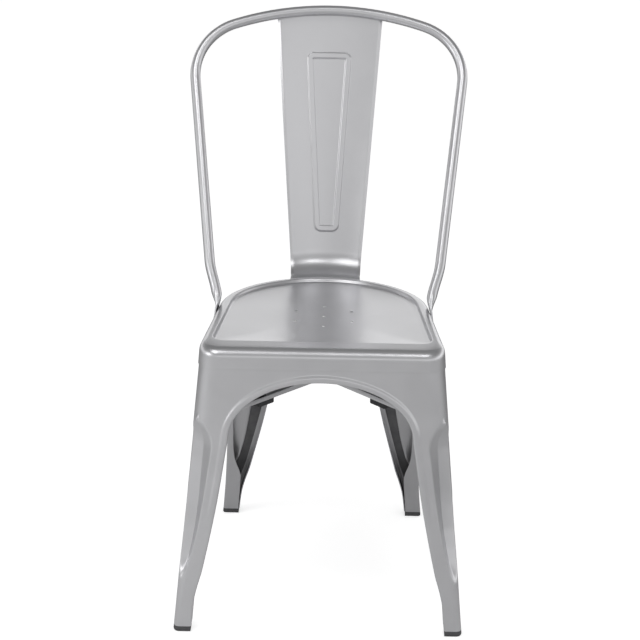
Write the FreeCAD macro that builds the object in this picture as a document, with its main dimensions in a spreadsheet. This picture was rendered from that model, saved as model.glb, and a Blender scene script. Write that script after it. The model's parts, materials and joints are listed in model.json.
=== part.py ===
import FreeCAD, Part
import math
import os
import Sketcher
from FreeCAD import Vector

# Metal bistro chair: four pressed sheet legs, a dished sheet seat, a tube back hoop and a sheet splat.
# Millimetres, +Z up, X across, the front at -Y, the origin on the floor under the middle of the chair.

doc = FreeCAD.newDocument("bistro_chair")

# Driving dimensions

SIZES = [
    ("seat_top", 436.0, "top of the seat rim above the floor"),
    ("outline_drop", 6.0, "depth below the rim at which the seat outline is measured"),
    ("skirt_height", 32.0, "height of the seat skirt, from the rim to its lower edge"),
    ("seat_front", 221.9, "front of the seat ahead of the middle"),
    ("rear_radius", 161.5, "radius of the round rear of the seat"),
    ("rear_centre", 16.4, "centre of that radius ahead of the middle"),
    ("side_taper", 5.2, "angle of the seat sides in plan, degrees"),
    ("front_corner", 30.0, "radius of the front seat corners in plan"),
    ("seat_metal", 1.2, "sheet thickness of the seat"),
    ("rim_roll", 9.0, "radius of the rolled rim at sides and rear"),
    ("front_roll", 14.0, "radius of the rolled front edge"),
    ("rim_width", 14.0, "rim width outside the dish, sides and rear"),
    ("front_band", 37.0, "rim width outside the dish at the front"),
    ("dish_run", 6.0, "width of the sloped edge of the dish"),
    ("dish_corner", 22.0, "radius of the dish corners in plan"),
    ("dish_step", 5.0, "depth of the dish below the rim"),
    ("dish_sag", 3.0, "further fall of the dish to its middle"),
    ("dish_fall", 0.6, "share of that fall that is done at the first ring of the dish"),
    ("dish_ring", 40.0, "distance of that ring from the edge of the dish"),
    ("dish_flat", 90.0, "distance of the flat middle from the edge of the dish"),
    ("dish_inner_corner", 8.0, "smallest corner radius of the dish rings in plan"),
    ("drain_diameter", 5.0, "diameter of the seat drain holes"),
    ("drain_circle", 49.0, "radius of the circle of drain holes"),
    ("drain_count", 6, "number of drain holes on that circle"),
    ("drain_centre", 37.1, "middle drain hole ahead of the middle"),
    ("leg_metal", 1.5, "sheet thickness of the legs"),
    ("skirt_clearance", 0.3, "gap between the leg tops and the seat skirt"),
    ("leg_top_drop", 13.0, "upper edge of the leg sheet below the seat rim"),
    ("leg_bottom", 9.0, "lower edge of the leg sheet, on the foot cap"),
    ("front_stance", 215.9, "outer corner of a front foot from the middle, across"),
    ("front_reach", 255.3, "outer corner of a front foot ahead of the middle"),
    ("rear_stance", 167.4, "outer corner of a rear foot from the middle, across"),
    ("rear_reach", 227.5, "outer corner of a rear foot behind the middle"),
    ("foot_corner", 9.0, "radius of the outer leg corner at the floor"),
    ("bow_middle_across", 170.0, "rear side wall at the floor, half way, across"),
    ("bow_middle_along", 135.9, "rear side wall at the floor, half way, behind the middle"),
    ("bow_end_across", 185.0, "rear side wall at the floor, end of its bow, across"),
    ("bow_end_along", 45.9, "rear side wall at the floor, end of its bow, behind the middle"),
    ("seam_line", 47.5, "side seam of front and rear legs ahead of the middle"),
    ("arch_band", 51.0, "top of an arch below the seat rim"),
    ("arch_rise", 85.0, "height of the closing part of an arch"),
    ("wing_spring", 56.0, "width of a leg wing at the spring of the arch"),
    ("wing_middle", 48.0, "width of a leg wing at middle height"),
    ("wing_knee", 36.2, "width of a leg wing at the knee"),
    ("wing_shin", 30.5, "width of a leg wing between knee and ankle"),
    ("tube_width", 27.4, "width of the closed lower leg"),
    ("middle_level", 195.0, "height of the wing_middle width"),
    ("knee_level", 97.0, "height of the knee"),
    ("shin_level", 68.0, "height of the wing_shin width"),
    ("ankle_level", 44.0, "height where the leg becomes a tube"),
    ("flange_depth", 10.0, "depth of the flange turned in along an arch"),
    ("open_bottom", 112.0, "height where the flanges start to close"),
    ("slit_top", 85.0, "top of the slit of the closed tube"),
    ("slit_bottom", 25.0, "bottom of that slit"),
    ("slit_width", 2.4, "material left off the inner corner at the slit"),
    ("lip_width", 11.5, "width of the raised lip along an arch"),
    ("lip_rise", 1.2, "rise of that lip from the leg face"),
    ("lip_bottom", 165.0, "height where the raised lip fades out"),
    ("lip_fade", 50.0, "length over which the raised lip fades"),
    ("flute_drop", 108.0, "upper end of the fluted corner below the seat rim"),
    ("flute_bottom", 84.0, "lower end of the fluted corner"),
    ("flute_mouth", 27.5, "widest reach of the flute along a face of the leg"),
    ("flute_valley", 20.5, "greatest depth of the flute from the corner, across"),
    ("flute_round", 5.0, "radius of the valley of the fluted corner"),
    ("cap_plug", 15.0, "length of the foot cap inside the tube"),
    ("cap_round", 4.0, "rounding of the foot cap at the floor"),
    ("cap_clearance", 0.2, "gap between foot cap plug and tube"),
    ("hoop_diameter", 16.0, "diameter of the back tube"),
    ("hoop_metal", 1.5, "wall of the back tube"),
    ("hoop_base_rise", 4.0, "start of the hoop plane above the seat rim"),
    ("hoop_base_front", 11.1, "start of the hoop plane ahead of the middle"),
    ("hoop_lean", 32.2, "lean of the hoop plane from upright, degrees"),
    ("hoop_rise", 482.0, "length of the hoop along its plane to the crown"),
    ("hoop_half", 210.5, "half width of the hoop at its widest, tube centre"),
    ("hoop_widest", 372.0, "distance along the plane to the widest place"),
    ("hoop_crown_radius", 459.0, "radius of the top of the hoop"),
    ("hoop_side_angle", 6.2, "spread of the hoop sides, degrees"),
    ("tube_start", 36.0, "distance along the plane where the tube is round"),
    ("tab_top", 12.0, "distance along the plane where the tube end is flat"),
    ("tab_bend", 8.0, "distance below the base where the end meets the skirt"),
    ("tab_drop", 40.0, "distance below the base where the end stops"),
    ("tab_width", 23.5, "width of the flattened tube end"),
    ("tab_metal", 3.2, "thickness of the flattened tube end"),
    ("tab_clearance", 0.2, "gap between the flattened end and the skirt"),
    ("splat_metal", 1.2, "sheet thickness of the splat"),
    ("splat_top_half", 84.5, "half width of the splat at the tube"),
    ("splat_foot_half", 55.4, "half width of the splat at its foot"),
    ("splat_foot_inset", 12.7, "front edge of the splat foot inside the seat outline"),
    ("splat_foot_length", 11.7, "flat length of the splat foot on the rim"),
    ("splat_foot_radius", 38.0, "radius of the curl at the splat foot"),
    ("splat_wrap", 60.0, "angle that the splat goes round the back tube, degrees"),
    ("splat_clearance", 0.2, "gap between the splat and the back tube"),
    ("bead_width", 11.0, "width of the raised bead on the splat"),
    ("bead_rise", 2.0, "rise of that bead"),
    ("bead_corner", 12.0, "corner radius of the bead outline"),
    ("bead_top_half", 36.5, "half width of the bead outline at its top"),
    ("bead_foot_half", 20.0, "half width of the bead outline at its foot"),
    ("bead_top", 346.0, "top of the bead outline above the seat rim"),
    ("bead_foot", 62.0, "foot of the bead outline above the seat rim"),
    ("strap_width", 26.0, "width of a brace strap"),
    ("strap_metal", 1.5, "sheet thickness of a brace strap"),
    ("strap_lip", 5.0, "height of the turned up strap edges"),
    ("strap_drop", 113.5, "underside of the lower brace strap below the seat rim"),
    ("strap_flat", 22.0, "half length of a strap without turned up edges"),
    ("strap_reach", 320.0, "length of a strap arm before it is cut to the leg"),
    ("strap_angle", 50.0, "angle of a strap from the X axis, degrees"),
    ("strap_clearance", 0.2, "gap between a strap end and the leg"),
    ("brace_centre", 7.9, "middle of the brace ahead of the middle"),
    ("rivet_diameter", 6.0, "shank of the brace rivet"),
    ("rivet_head", 12.0, "head diameter of the brace rivet"),
    ("rivet_rise", 2.4, "head height of the brace rivet"),
    ("rivet_round", 2.0, "rounding of the rivet head"),
    ("fit_clearance", 0.1, "gap around a shank in its hole"),
    ("bumper_length", 34.0, "length of a brace bumper"),
    ("bumper_width", 20.0, "width of a brace bumper"),
    ("bumper_height", 10.0, "height of a brace bumper"),
    ("bumper_round", 2.5, "rounding of the lower bumper edges"),
    ("bumper_place", 140.0, "distance of a bumper from the middle of the brace"),
    ("stem_diameter", 7.0, "stem of a bumper through its strap"),
    ("stem_head", 12.0, "snap head of the bumper stem"),
    ("stem_rise", 3.0, "height of that snap head"),
]

sheet = doc.addObject("Spreadsheet::Sheet", "sizes")
for row, (alias, value, note) in enumerate(SIZES, start=1):
    sheet.set("A%d" % row, note)
    sheet.set("B%d" % row, str(value))
    sheet.setAlias("B%d" % row, alias)
doc.recompute()


def size(alias):
    """Read one driving dimension from the sheet."""
    return float(sheet.get(alias))


SEAT_TOP = size("seat_top")
LEVEL = SEAT_TOP - size("outline_drop")
SKIRT_BOTTOM = SEAT_TOP - size("skirt_height")
LEG_TOP = SEAT_TOP - size("leg_top_drop")
ARCH_CROWN = SEAT_TOP - size("arch_band")
ARCH_SPRING = ARCH_CROWN - size("arch_rise")
HOOP_BASE_LEVEL = SEAT_TOP + size("hoop_base_rise")
STRAP_LEVEL = "(sizes.seat_top - sizes.strap_drop)"
TAPER = math.radians(size("side_taper"))
REAR_Y = -size("rear_centre")
SEAM_Y = -size("seam_line")
LEG_METAL = size("leg_metal")
LEG_TUCK = size("seat_metal") + size("skirt_clearance")
FAR = 400.0
OVER = 5.0
VOID_OVER = 12.0
LEAST_CORNER = 1.0


# Plan outlines: every wall is a list of segments, each with a start, a middle and an end point

def middle(a, b):
    """Point halfway between two plan points."""
    return ((a[0] + b[0]) / 2, (a[1] + b[1]) / 2)


def on_arc(centre, radius, degrees):
    """Point of a circle; 0 degrees looks to -X and 90 degrees to +Y."""
    turn = math.radians(degrees)
    return (centre[0] - radius * math.cos(turn), centre[1] + radius * math.sin(turn))


def side_x(distance, y):
    """X of the tapered left side line that lies at a distance from the rear centre."""
    return -(distance - (y - REAR_Y) * math.sin(TAPER)) / math.cos(TAPER)


def front_wall(front_y, distance, radius):
    """Left half of the front wall, its corner and the side wall up to the seam."""
    centre_y = front_y + radius
    centre = (side_x(distance - radius, centre_y), centre_y)
    start = (0.0, front_y)
    corner_start = (centre[0], front_y)
    taper = math.degrees(TAPER)
    corner_end = on_arc(centre, radius, taper)
    corner_middle = on_arc(centre, radius, (taper - 90) / 2)
    seam = (side_x(distance, SEAM_Y), SEAM_Y)
    return [
        (start, middle(start, corner_start), corner_start),
        (corner_start, corner_middle, corner_end),
        (corner_end, middle(corner_end, seam), seam),
    ]


CORNER_FROM = 38.0
CORNER_TO = 52.0


def rear_wall_at_seat(distance):
    """Left half of the rear wall at the seat, from the middle to the seam."""
    centre = (0.0, REAR_Y)
    taper = math.degrees(TAPER)
    angles = [90.0, CORNER_TO, CORNER_FROM, taper]
    segments = []
    for first, last in zip(angles, angles[1:]):
        segments.append((
            on_arc(centre, distance, first),
            on_arc(centre, distance, (first + last) / 2),
            on_arc(centre, distance, last),
        ))
    end = segments[-1][2]
    seam = (side_x(distance, SEAM_Y), SEAM_Y)
    segments.append((end, middle(end, seam), seam))
    return segments


def rear_wall_at_floor(inset, seam_x):
    """Left half of the rear wall carried down to the floor."""
    radius = size("foot_corner")
    centre = (radius - size("rear_stance"), size("rear_reach") - radius)
    corner = [on_arc(centre, max(radius - inset, LEAST_CORNER), angle) for angle in (90, 45, 0)]
    start = (0.0, size("rear_reach") - inset)
    bow = [(inset - size("bow_middle_across"), size("bow_middle_along")),
           (inset - size("bow_end_across"), size("bow_end_along"))]
    seam = (seam_x, SEAM_Y)
    return [
        (start, middle(start, corner[0]), corner[0]),
        tuple(corner),
        (corner[2], bow[0], bow[1]),
        (bow[1], middle(bow[1], seam), seam),
    ]


def floor_distance(inset):
    """Distance of the side wall at the floor from the rear centre."""
    along = (-size("front_reach") - REAR_Y) * math.sin(TAPER)
    return size("front_stance") * math.cos(TAPER) + along - inset


def blend(first, last, share):
    """Walls between two levels, point by point."""
    mixed = []
    for one, two in zip(first, last):
        mixed.append(tuple(
            (p[0] + (q[0] - p[0]) * share, p[1] + (q[1] - p[1]) * share)
            for p, q in zip(one, two)
        ))
    return mixed


def wall(which, z, inset, tuck=0.0):
    """Front or rear left wall at height z, moved in by inset, and by tuck more at the seat."""
    tucked = inset + tuck
    if which == "front":
        seat = front_wall(tucked - size("seat_front"), size("rear_radius") - tucked,
                          max(size("front_corner") - tucked, LEAST_CORNER))
        floor = front_wall(inset - size("front_reach"), floor_distance(inset),
                           max(size("foot_corner") - inset, LEAST_CORNER))
    else:
        seat = rear_wall_at_seat(size("rear_radius") - tucked)
        floor = rear_wall_at_floor(inset, side_x(floor_distance(inset), SEAM_Y))
    return blend(seat, floor, max(LEVEL - z, 0.0) / LEVEL)


def edge_of(segment, z):
    """Straight or round edge of one segment at height z."""
    a, m, b = [Vector(p[0], p[1], z) for p in segment]
    bow = (m - (a + b) / 2).Length
    if bow < 0.001:
        return Part.LineSegment(a, b).toShape()
    return Part.Arc(a, m, b).toShape()


def quadrant(which, z, inset, over=0.0):
    """Closed outline of one quarter of the legs, with over past the middle and the seam."""
    segments = wall(which, z, inset, LEG_TUCK)
    sign = 1.0 if which == "front" else -1.0
    start = segments[0][0]
    end = segments[-1][2]
    corners = [end]
    if over > 0.0:
        corners.append((end[0], end[1] + sign * over))
    corners.append((over, end[1] + sign * over))
    if over > 0.0:
        corners.append((over, start[1]))
    corners.append(start)
    edges = [edge_of(segment, z) for segment in segments]
    for a, b in zip(corners, corners[1:]):
        edges.append(Part.LineSegment(Vector(a[0], a[1], z), Vector(b[0], b[1], z)).toShape())
    return Part.Wire(edges)


def loft(wires):
    """Solid through closed wires with straight rulings."""
    return Part.makeLoft(wires, True, True)


# Arches: a void cut through the walls between two legs

def corner_line(which, z):
    """Outer corner of a left leg at height z, as plan point."""
    share = (LEVEL - z) / LEVEL
    if which == "front":
        seat_y = LEG_TUCK - size("seat_front")
        seat = (side_x(size("rear_radius") - LEG_TUCK, seat_y), seat_y)
        floor = (-size("front_stance"), -size("front_reach"))
    else:
        seat = on_arc((0.0, REAR_Y), size("rear_radius") - LEG_TUCK, 45)
        floor = (-size("rear_stance"), size("rear_reach"))
    return (seat[0] + (floor[0] - seat[0]) * share, seat[1] + (floor[1] - seat[1]) * share)


def leg_edge(which, axis, grow):
    """Free edge of a leg wing, from the spring of the arch down, as (across, z)."""
    widths = [
        (ARCH_SPRING, size("wing_spring")),
        (size("middle_level"), size("wing_middle")),
        (size("knee_level"), size("wing_knee")),
        (size("shin_level"), size("wing_shin")),
        (size("ankle_level"), size("tube_width")),
        (-OVER, size("tube_width")),
    ]
    sign = -1.0 if (which, axis) == ("rear", 1) else 1.0
    return [(corner_line(which, z)[axis] + sign * (width - grow), z) for z, width in widths]


def crown(centre, across, half, rise):
    """Half ellipse that closes an arch."""
    side = centre + across * half
    top = centre + Vector(0, 0, rise)
    if half > rise:
        return Part.ArcOfEllipse(Part.Ellipse(side, top, centre), 0, math.pi).toShape()
    ellipse = Part.Ellipse(top, side, centre)
    return Part.ArcOfEllipse(ellipse, -math.pi / 2, math.pi / 2).toShape()


def arch_face(near, far, grow, origin, across):
    """Face of an arch opening between two free edges, in a vertical plane."""
    def place(point):
        return origin + across * point[0] + Vector(0, 0, point[1])

    edges = []
    for points in (near, far):
        curve = Part.BSplineCurve()
        curve.interpolate(Points=[place(point) for point in points],
                          InitialTangent=Vector(0, 0, -1), FinalTangent=Vector(0, 0, -1))
        edges.append(curve.toShape())
    centre = ((near[0][0] + far[0][0]) / 2, near[0][1])
    half = abs(far[0][0] - near[0][0]) / 2
    rise = size("arch_rise") + grow
    edges.append(crown(place(centre), across, half, rise))
    edges.append(Part.LineSegment(place(near[-1]), place(far[-1])).toShape())
    return Part.Face(Part.Wire(Part.__sortEdges__(edges)))


def end_void(which, grow):
    """Opening between the two front or the two rear legs."""
    near = leg_edge(which, 0, grow)
    far = [(-x, z) for x, z in near]
    sign = -1.0 if which == "front" else 1.0
    face = arch_face(near, far, grow, Vector(0, SEAM_Y - sign * VOID_OVER, 0), Vector(1, 0, 0))
    return face.extrude(Vector(0, sign * FAR, 0))


def side_void(grow):
    """Opening between the front and the rear left leg."""
    near = leg_edge("front", 1, grow)
    far = leg_edge("rear", 1, grow)
    face = arch_face(near, far, grow, Vector(VOID_OVER, 0, 0), Vector(0, 1, 0))
    return face.extrude(Vector(-FAR, 0, 0))


# Fluted corner: the outer edge of a leg pressed inwards. Each row is a section, from the top down: its
# place between the two ends of the flute, and the shares of the full mouth and of the full valley.

FLUTE_ROWS = [
    (1.0, 0.0364, 0.0488),
    (0.9672, 0.3636, 0.439),
    (0.9426, 0.6, 0.6098),
    (0.8852, 0.8909, 0.878),
    (0.8279, 1.0, 1.0),
    (0.4754, 0.8182, 1.0),
    (0.3115, 0.6909, 0.9268),
    (0.2049, 0.5636, 0.8049),
    (0.1148, 0.4364, 0.6585),
    (0.0656, 0.3382, 0.4878),
    (0.0164, 0.1818, 0.2439),
    (0.0, 0.0727, 0.0732),
]
FLUTE_TOP = SEAT_TOP - size("flute_drop")
FLUTE_BOTTOM = size("flute_bottom")
FLUTE = [(FLUTE_BOTTOM + (FLUTE_TOP - FLUTE_BOTTOM) * place,
          size("flute_mouth") * mouth, size("flute_valley") * valley)
         for place, mouth, valley in FLUTE_ROWS]
FLUTE_OUT = 40.0


def flute_section(which, z, mouth, valley, grow):
    """Outline of the flute: mouth and valley are its reach from the corner along a face."""
    slope = (mouth - valley) / valley
    slant = math.hypot(mouth - valley, valley)
    wide = mouth + grow * slant / valley
    deep = valley * wide / mouth
    radius = min(size("flute_round"), valley / 4) + grow
    legs = (Vector(slope * deep, -deep, 0).normalize(), Vector(-deep, slope * deep, 0).normalize())
    half_angle = legs[0].getAngle(legs[1]) / 2
    tangent = radius / math.tan(half_angle)
    tip = Vector(deep, deep, 0)
    bow = (radius / math.sin(half_angle) - radius) * math.sqrt(0.5)
    outer = wide + slope * FLUTE_OUT
    points = [
        tip + legs[0] * tangent,
        tip - Vector(bow, bow, 0),
        tip + legs[1] * tangent,
        Vector(-FLUTE_OUT, outer, 0),
        Vector(-FLUTE_OUT, -FLUTE_OUT, 0),
        Vector(outer, -FLUTE_OUT, 0),
    ]
    corner = corner_line(which, z)
    sign = 1.0 if which == "front" else -1.0
    a, m, b, c, d, e = [Vector(corner[0] + p.x, corner[1] + sign * p.y, z) for p in points]
    edges = [Part.Arc(a, m, b).toShape()]
    for p, q in ((b, c), (c, d), (d, e), (e, a)):
        edges.append(Part.LineSegment(p, q).toShape())
    return Part.Wire(edges)


def flute(which, grow):
    """Solid that is pressed out of the corner of a left leg, grown for its inner side."""
    half_way = (FLUTE[0][0] + FLUTE[-1][0]) / 2
    sections = []
    for z, mouth, valley in FLUTE:
        level = z + grow if z > half_way else z - grow
        sections.append(flute_section(which, level, mouth, valley, grow))
    return loft(sections)


# Legs: one folded sheet each, with a flange along every arch

def leg_block(which, inset):
    """Solid leg up to the outer face of its sheet, or up to the inner face."""
    over = OVER if inset else 0.0
    bottom = size("leg_bottom") if not inset else -OVER
    top = LEG_TOP if not inset else LEVEL
    hull = loft([quadrant(which, bottom, inset, over), quadrant(which, top, inset, over)])
    fade = size("lip_bottom")
    proud = inset - size("lip_rise")
    raised = loft([
        quadrant(which, fade, inset + size("lip_rise"), over),
        quadrant(which, fade + size("lip_fade"), proud, over),
        quadrant(which, ARCH_CROWN + size("lip_width"), proud, over),
    ])
    grow = size("lip_width") - inset
    lip = raised.common(end_void(which, grow).fuse(side_void(grow)))
    block = hull.fuse(lip)
    return block.cut(side_void(inset)).cut(end_void(which, inset)).cut(flute(which, inset))


def leg_hollow(which):
    """Open inner side of a leg, beyond the flanges."""
    slit = size("tube_width") - size("slit_width")
    levels = [
        (size("slit_bottom"), slit),
        (size("slit_top"), slit),
        (size("open_bottom"), size("flange_depth")),
        (LEVEL, size("flange_depth")),
    ]
    hollow = loft([quadrant(which, z, inset, OVER) for z, inset in levels])
    return hollow.cut(flute(which, LEG_METAL))


def leg_shape(which):
    """Sheet of a left leg."""
    sheet_metal = leg_block(which, 0.0).cut([leg_block(which, LEG_METAL), leg_hollow(which)])
    return sheet_metal.removeSplitter()


def foot_cap_shape(which):
    """Rubber cap under a left leg, with a plug in the tube."""
    soft = size("cap_round")
    levels = []
    steps = 3
    for number in range(steps + 1):
        turn = math.pi / 2 * number / steps
        levels.append((soft * (1 - math.cos(turn)), soft * (1 - math.sin(turn))))
    levels.append((size("leg_bottom"), 0.0))
    shell = loft([quadrant(which, z, inset) for z, inset in levels])
    shell = shell.cut([end_void(which, 0.0), side_void(0.0)])
    inner = LEG_METAL + size("cap_clearance")
    bottom = size("leg_bottom") - soft / 2
    top = size("leg_bottom") + size("cap_plug")
    plug = loft([quadrant(which, bottom, inner), quadrant(which, top, inner)])
    plug = plug.cut([end_void(which, inner), side_void(inner)])
    return shell.fuse(plug).removeSplitter()


# Seat: a rolled rim, a skirt outside the leg tops and a shallow dish

def seat_outline(z, side, front, corner):
    """Closed outline of the seat, moved in by side at the sides and by front at the front."""
    share = max(LEVEL - z, 0.0) / LEVEL
    seat = front_wall(front - size("seat_front"), size("rear_radius") - side, corner)
    floor = front_wall(front - size("front_reach"), floor_distance(side), corner)
    fore = blend(seat, floor, share)
    aft = blend(rear_wall_at_seat(size("rear_radius") - side),
                rear_wall_at_floor(side, side_x(floor_distance(side), SEAM_Y)), share)
    left = fore + [segment[::-1] for segment in aft[::-1]]
    right = [tuple((-x, y) for x, y in segment[::-1]) for segment in left[::-1]]
    return Part.Wire([edge_of(segment, z) for segment in left + right])


def roll(z, radius, metal):
    """Inset of the rolled edge at height z, on the outer or the inner face of the sheet."""
    above = z - (SEAT_TOP - radius)
    if above <= 0:
        return metal
    return radius - math.sqrt(max((radius - metal) ** 2 - above ** 2, 0.0))


def seat_block(metal):
    """Solid under the outer face of the seat, or under its inner face."""
    side_roll = size("rim_roll")
    front_roll = size("front_roll")
    plan_corner = size("front_corner")
    top = SEAT_TOP - metal
    bottom = SKIRT_BOTTOM - (OVER if metal else 0.0)
    outlines = [seat_outline(bottom, metal, metal, plan_corner)]
    steps = 6
    for number in range(steps):
        z = top - (front_roll - metal) * (1 - math.sin(math.pi / 2 * number / steps))
        side = roll(z, side_roll, metal)
        outlines.append(seat_outline(z, side, roll(z, front_roll, metal), plan_corner - side))
    outlines.append(seat_outline(top, side_roll, front_roll, plan_corner - side_roll))
    run = size("dish_run")
    step = size("dish_step")
    shift = metal * math.tan(math.atan2(step, run) / 2)
    sag = size("dish_sag")
    dish = [(0.0, 0.0), (run, step), (run + size("dish_ring"), step + sag * size("dish_fall")),
            (run + size("dish_flat"), step + sag)]
    for inward, down in dish:
        side = size("rim_width") + inward - shift
        front = size("front_band") + inward - shift
        corner = max(size("dish_corner") - inward, size("dish_inner_corner"))
        outlines.append(seat_outline(top - down, side, front, corner))
    return loft(outlines)


def drain_holes():
    """Pins that cut the drain holes."""
    radius = size("drain_diameter") / 2
    centre = Vector(0, -size("drain_centre"), SKIRT_BOTTOM)
    places = [centre]
    count = int(size("drain_count"))
    for number in range(count):
        turn = math.pi / 2 + math.tau * number / count
        places.append(centre + Vector(math.cos(turn), math.sin(turn), 0) * size("drain_circle"))
    return [Part.makeCylinder(radius, SEAT_TOP, place) for place in places]


def seat_shape():
    """Sheet of the seat."""
    metal = size("seat_metal")
    return seat_block(0.0).cut([seat_block(metal)] + drain_holes()).removeSplitter()


# Back hoop: one bent tube with flattened ends that lie outside the seat skirt

LEAN = math.radians(size("hoop_lean"))
HOOP_UP = Vector(0, math.sin(LEAN), math.cos(LEAN))
HOOP_OUT = Vector(0, -math.cos(LEAN), math.sin(LEAN))
HOOP_BASE = Vector(0, -size("hoop_base_front"), HOOP_BASE_LEVEL)


def hoop_point(across, along, out=0.0):
    """World point of a place in the hoop plane."""
    return HOOP_BASE + Vector(across, 0, 0) + HOOP_UP * along + HOOP_OUT * out


def hoop_line():
    """Left half of the tube centre line, as arcs and a line in the hoop plane."""
    half = size("hoop_half")
    top_radius = size("hoop_crown_radius")
    widest = size("hoop_widest")
    rise = size("hoop_rise")
    gap = widest - (rise - top_radius)
    radius = (top_radius ** 2 - half ** 2 - gap ** 2) / (2 * (top_radius - half))
    centre = (half - radius, widest)
    join = math.atan2(gap, centre[0])
    end = -math.radians(size("hoop_side_angle"))

    def on(middle_point, reach, turn):
        return (-(middle_point[0] + reach * math.cos(turn)),
                middle_point[1] + reach * math.sin(turn))

    top = (0.0, rise - top_radius)
    crown_arc = [on(top, top_radius, turn) for turn in (math.pi / 2, (math.pi / 2 + join) / 2, join)]
    corner_arc = [on(centre, radius, turn) for turn in (join, (join + end) / 2, end)]
    foot_s = size("tube_start")
    start = corner_arc[-1]
    foot = (start[0] + (start[1] - foot_s) * math.tan(-end), foot_s)
    return crown_arc, corner_arc, foot


def skirt_x(y, z):
    """X of the outer face of the left seat skirt, carried up as a plane."""
    low = SKIRT_BOTTOM
    high = LEVEL
    corner_end, seam = wall("front", high, 0.0)[-1][0], wall("front", high, 0.0)[-1][2]
    seam_low = wall("front", low, 0.0)[-1][2]
    along = (seam[0] - corner_end[0]) / (seam[1] - corner_end[1])
    up = (seam[0] - seam_low[0]) / (high - low)
    return seam[0] + along * (y - seam[1]) + up * (z - high)


def quad(points):
    """Closed wire through four points."""
    return Part.makePolygon(points + points[:1])


def tube_end():
    """Flattened lower end of the left side of the hoop."""
    radius = size("hoop_diameter") / 2
    spread = math.radians(size("hoop_side_angle"))
    half = size("tab_width") / 2
    metal = size("tab_metal")
    foot = hoop_line()[2]

    def flat(along):
        corners = []
        for out in (-half, half):
            place = hoop_point(0.0, along, out)
            inner = skirt_x(place.y, place.z) - size("tab_clearance")
            corners.append((place, inner))
        return corners

    def section(along, shift):
        (low, low_x), (high, high_x) = flat(along)
        points = []
        for place, x in ((low, low_x), (high, high_x)):
            points.append(Vector(x + shift, place.y, place.z))
        for place, x in ((high, high_x), (low, low_x)):
            points.append(Vector(x + shift - metal, place.y, place.z))
        return quad(points)

    bend = -size("tab_bend")
    bend_place = hoop_point(0.0, bend)
    bend_x = skirt_x(bend_place.y, bend_place.z) - size("tab_clearance") - metal / 2
    top_place = hoop_point(0.0, size("tab_top"))
    share = (size("tab_top") - bend) / (foot[1] - bend)
    wanted = bend_x + (foot[0] - bend_x) * share
    top_x = skirt_x(top_place.y, top_place.z) - size("tab_clearance") - metal / 2
    corners = [math.radians(angle) for angle in (-45, 45, 135, 225)]
    rim = []
    for first, last in zip(corners, corners[1:] + [math.radians(315)]):
        turns = (first, (first + last) / 2, last)
        a, m, b = [hoop_point(foot[0] + radius * math.cos(turn) * math.cos(spread),
                              foot[1] + radius * math.cos(turn) * math.sin(spread),
                              radius * math.sin(turn)) for turn in turns]
        rim.append(Part.Arc(a, m, b).toShape())
    flat_part = loft([section(-size("tab_drop"), 0.0), section(bend, 0.0)])
    bent_part = loft([section(bend, 0.0), section(size("tab_top"), wanted - top_x)])
    neck = loft([section(size("tab_top"), wanted - top_x), Part.Wire(rim)])
    return flat_part.fuse([bent_part, neck]).removeSplitter()


def hoop_shape():
    """Whole back hoop."""
    crown_arc, corner_arc, foot = hoop_line()
    edges = [
        Part.Arc(*[hoop_point(*point) for point in crown_arc]).toShape(),
        Part.Arc(*[hoop_point(*point) for point in corner_arc]).toShape(),
        Part.LineSegment(hoop_point(*corner_arc[-1]), hoop_point(*foot)).toShape(),
    ]
    start = hoop_point(*crown_arc[0])
    radius = size("hoop_diameter") / 2
    tubes = []
    for reach in (radius, radius - size("hoop_metal")):
        profile = Part.Wire(Part.makeCircle(reach, start, Vector(1, 0, 0)))
        tubes.append(Part.Wire(edges).makePipeShell([profile], True, False))
    side = tubes[0].fuse(tube_end()).cut(tubes[1])
    return side.fuse(side.mirror(Vector(0, 0, 0), Vector(1, 0, 0))).removeSplitter()


# Splat: a curved sheet that stands on the rear rim and wraps round the back of the tube

def splat_section(x, front, back):
    """Side profile of the splat at x, between two depths from its front face."""
    rim_radius = size("rear_radius") - size("splat_foot_inset")
    bow = rim_radius - math.sqrt(rim_radius ** 2 - x ** 2)
    foot_y = REAR_Y + rim_radius - bow
    curl = size("splat_foot_radius")
    foot_z = SEAT_TOP + size("splat_metal")
    low = Vector(x, foot_y + size("splat_foot_length"), foot_z + curl)
    arc = size("hoop_crown_radius")
    high = hoop_point(x, size("hoop_rise") - arc + math.sqrt(arc ** 2 - x ** 2))
    reach = size("hoop_diameter") / 2 + size("splat_clearance")
    line = high - low
    lift = (curl - reach) / line.Length
    line.normalize()
    behind = Vector(0, line.z, -line.y)
    normal = line * lift + behind * math.sqrt(1 - lift ** 2)
    down = Vector(0, 0, -1)
    half_curl = (down + normal).normalize()
    wrap = math.radians(size("splat_wrap"))

    def turned(angle):
        return Vector(0, normal.y * math.cos(angle) - normal.z * math.sin(angle),
                      normal.y * math.sin(angle) + normal.z * math.cos(angle))

    chains = []
    for depth in (front, back):
        around = curl + depth
        over = reach + depth
        chains.append([
            Vector(x, foot_y, foot_z - depth),
            low + down * around,
            low + half_curl * around,
            low + normal * around,
            high + normal * over,
            high + turned(wrap / 2) * over,
            high + turned(wrap) * over,
        ])
    one, two = chains
    edges = [
        Part.LineSegment(one[0], one[1]).toShape(),
        Part.Arc(one[1], one[2], one[3]).toShape(),
        Part.LineSegment(one[3], one[4]).toShape(),
        Part.Arc(one[4], one[5], one[6]).toShape(),
        Part.LineSegment(one[6], two[6]).toShape(),
        Part.Arc(two[6], two[5], two[4]).toShape(),
        Part.LineSegment(two[4], two[3]).toShape(),
        Part.Arc(two[3], two[2], two[1]).toShape(),
        Part.LineSegment(two[1], two[0]).toShape(),
        Part.LineSegment(two[0], one[0]).toShape(),
    ]
    return Part.Wire(edges)


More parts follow.
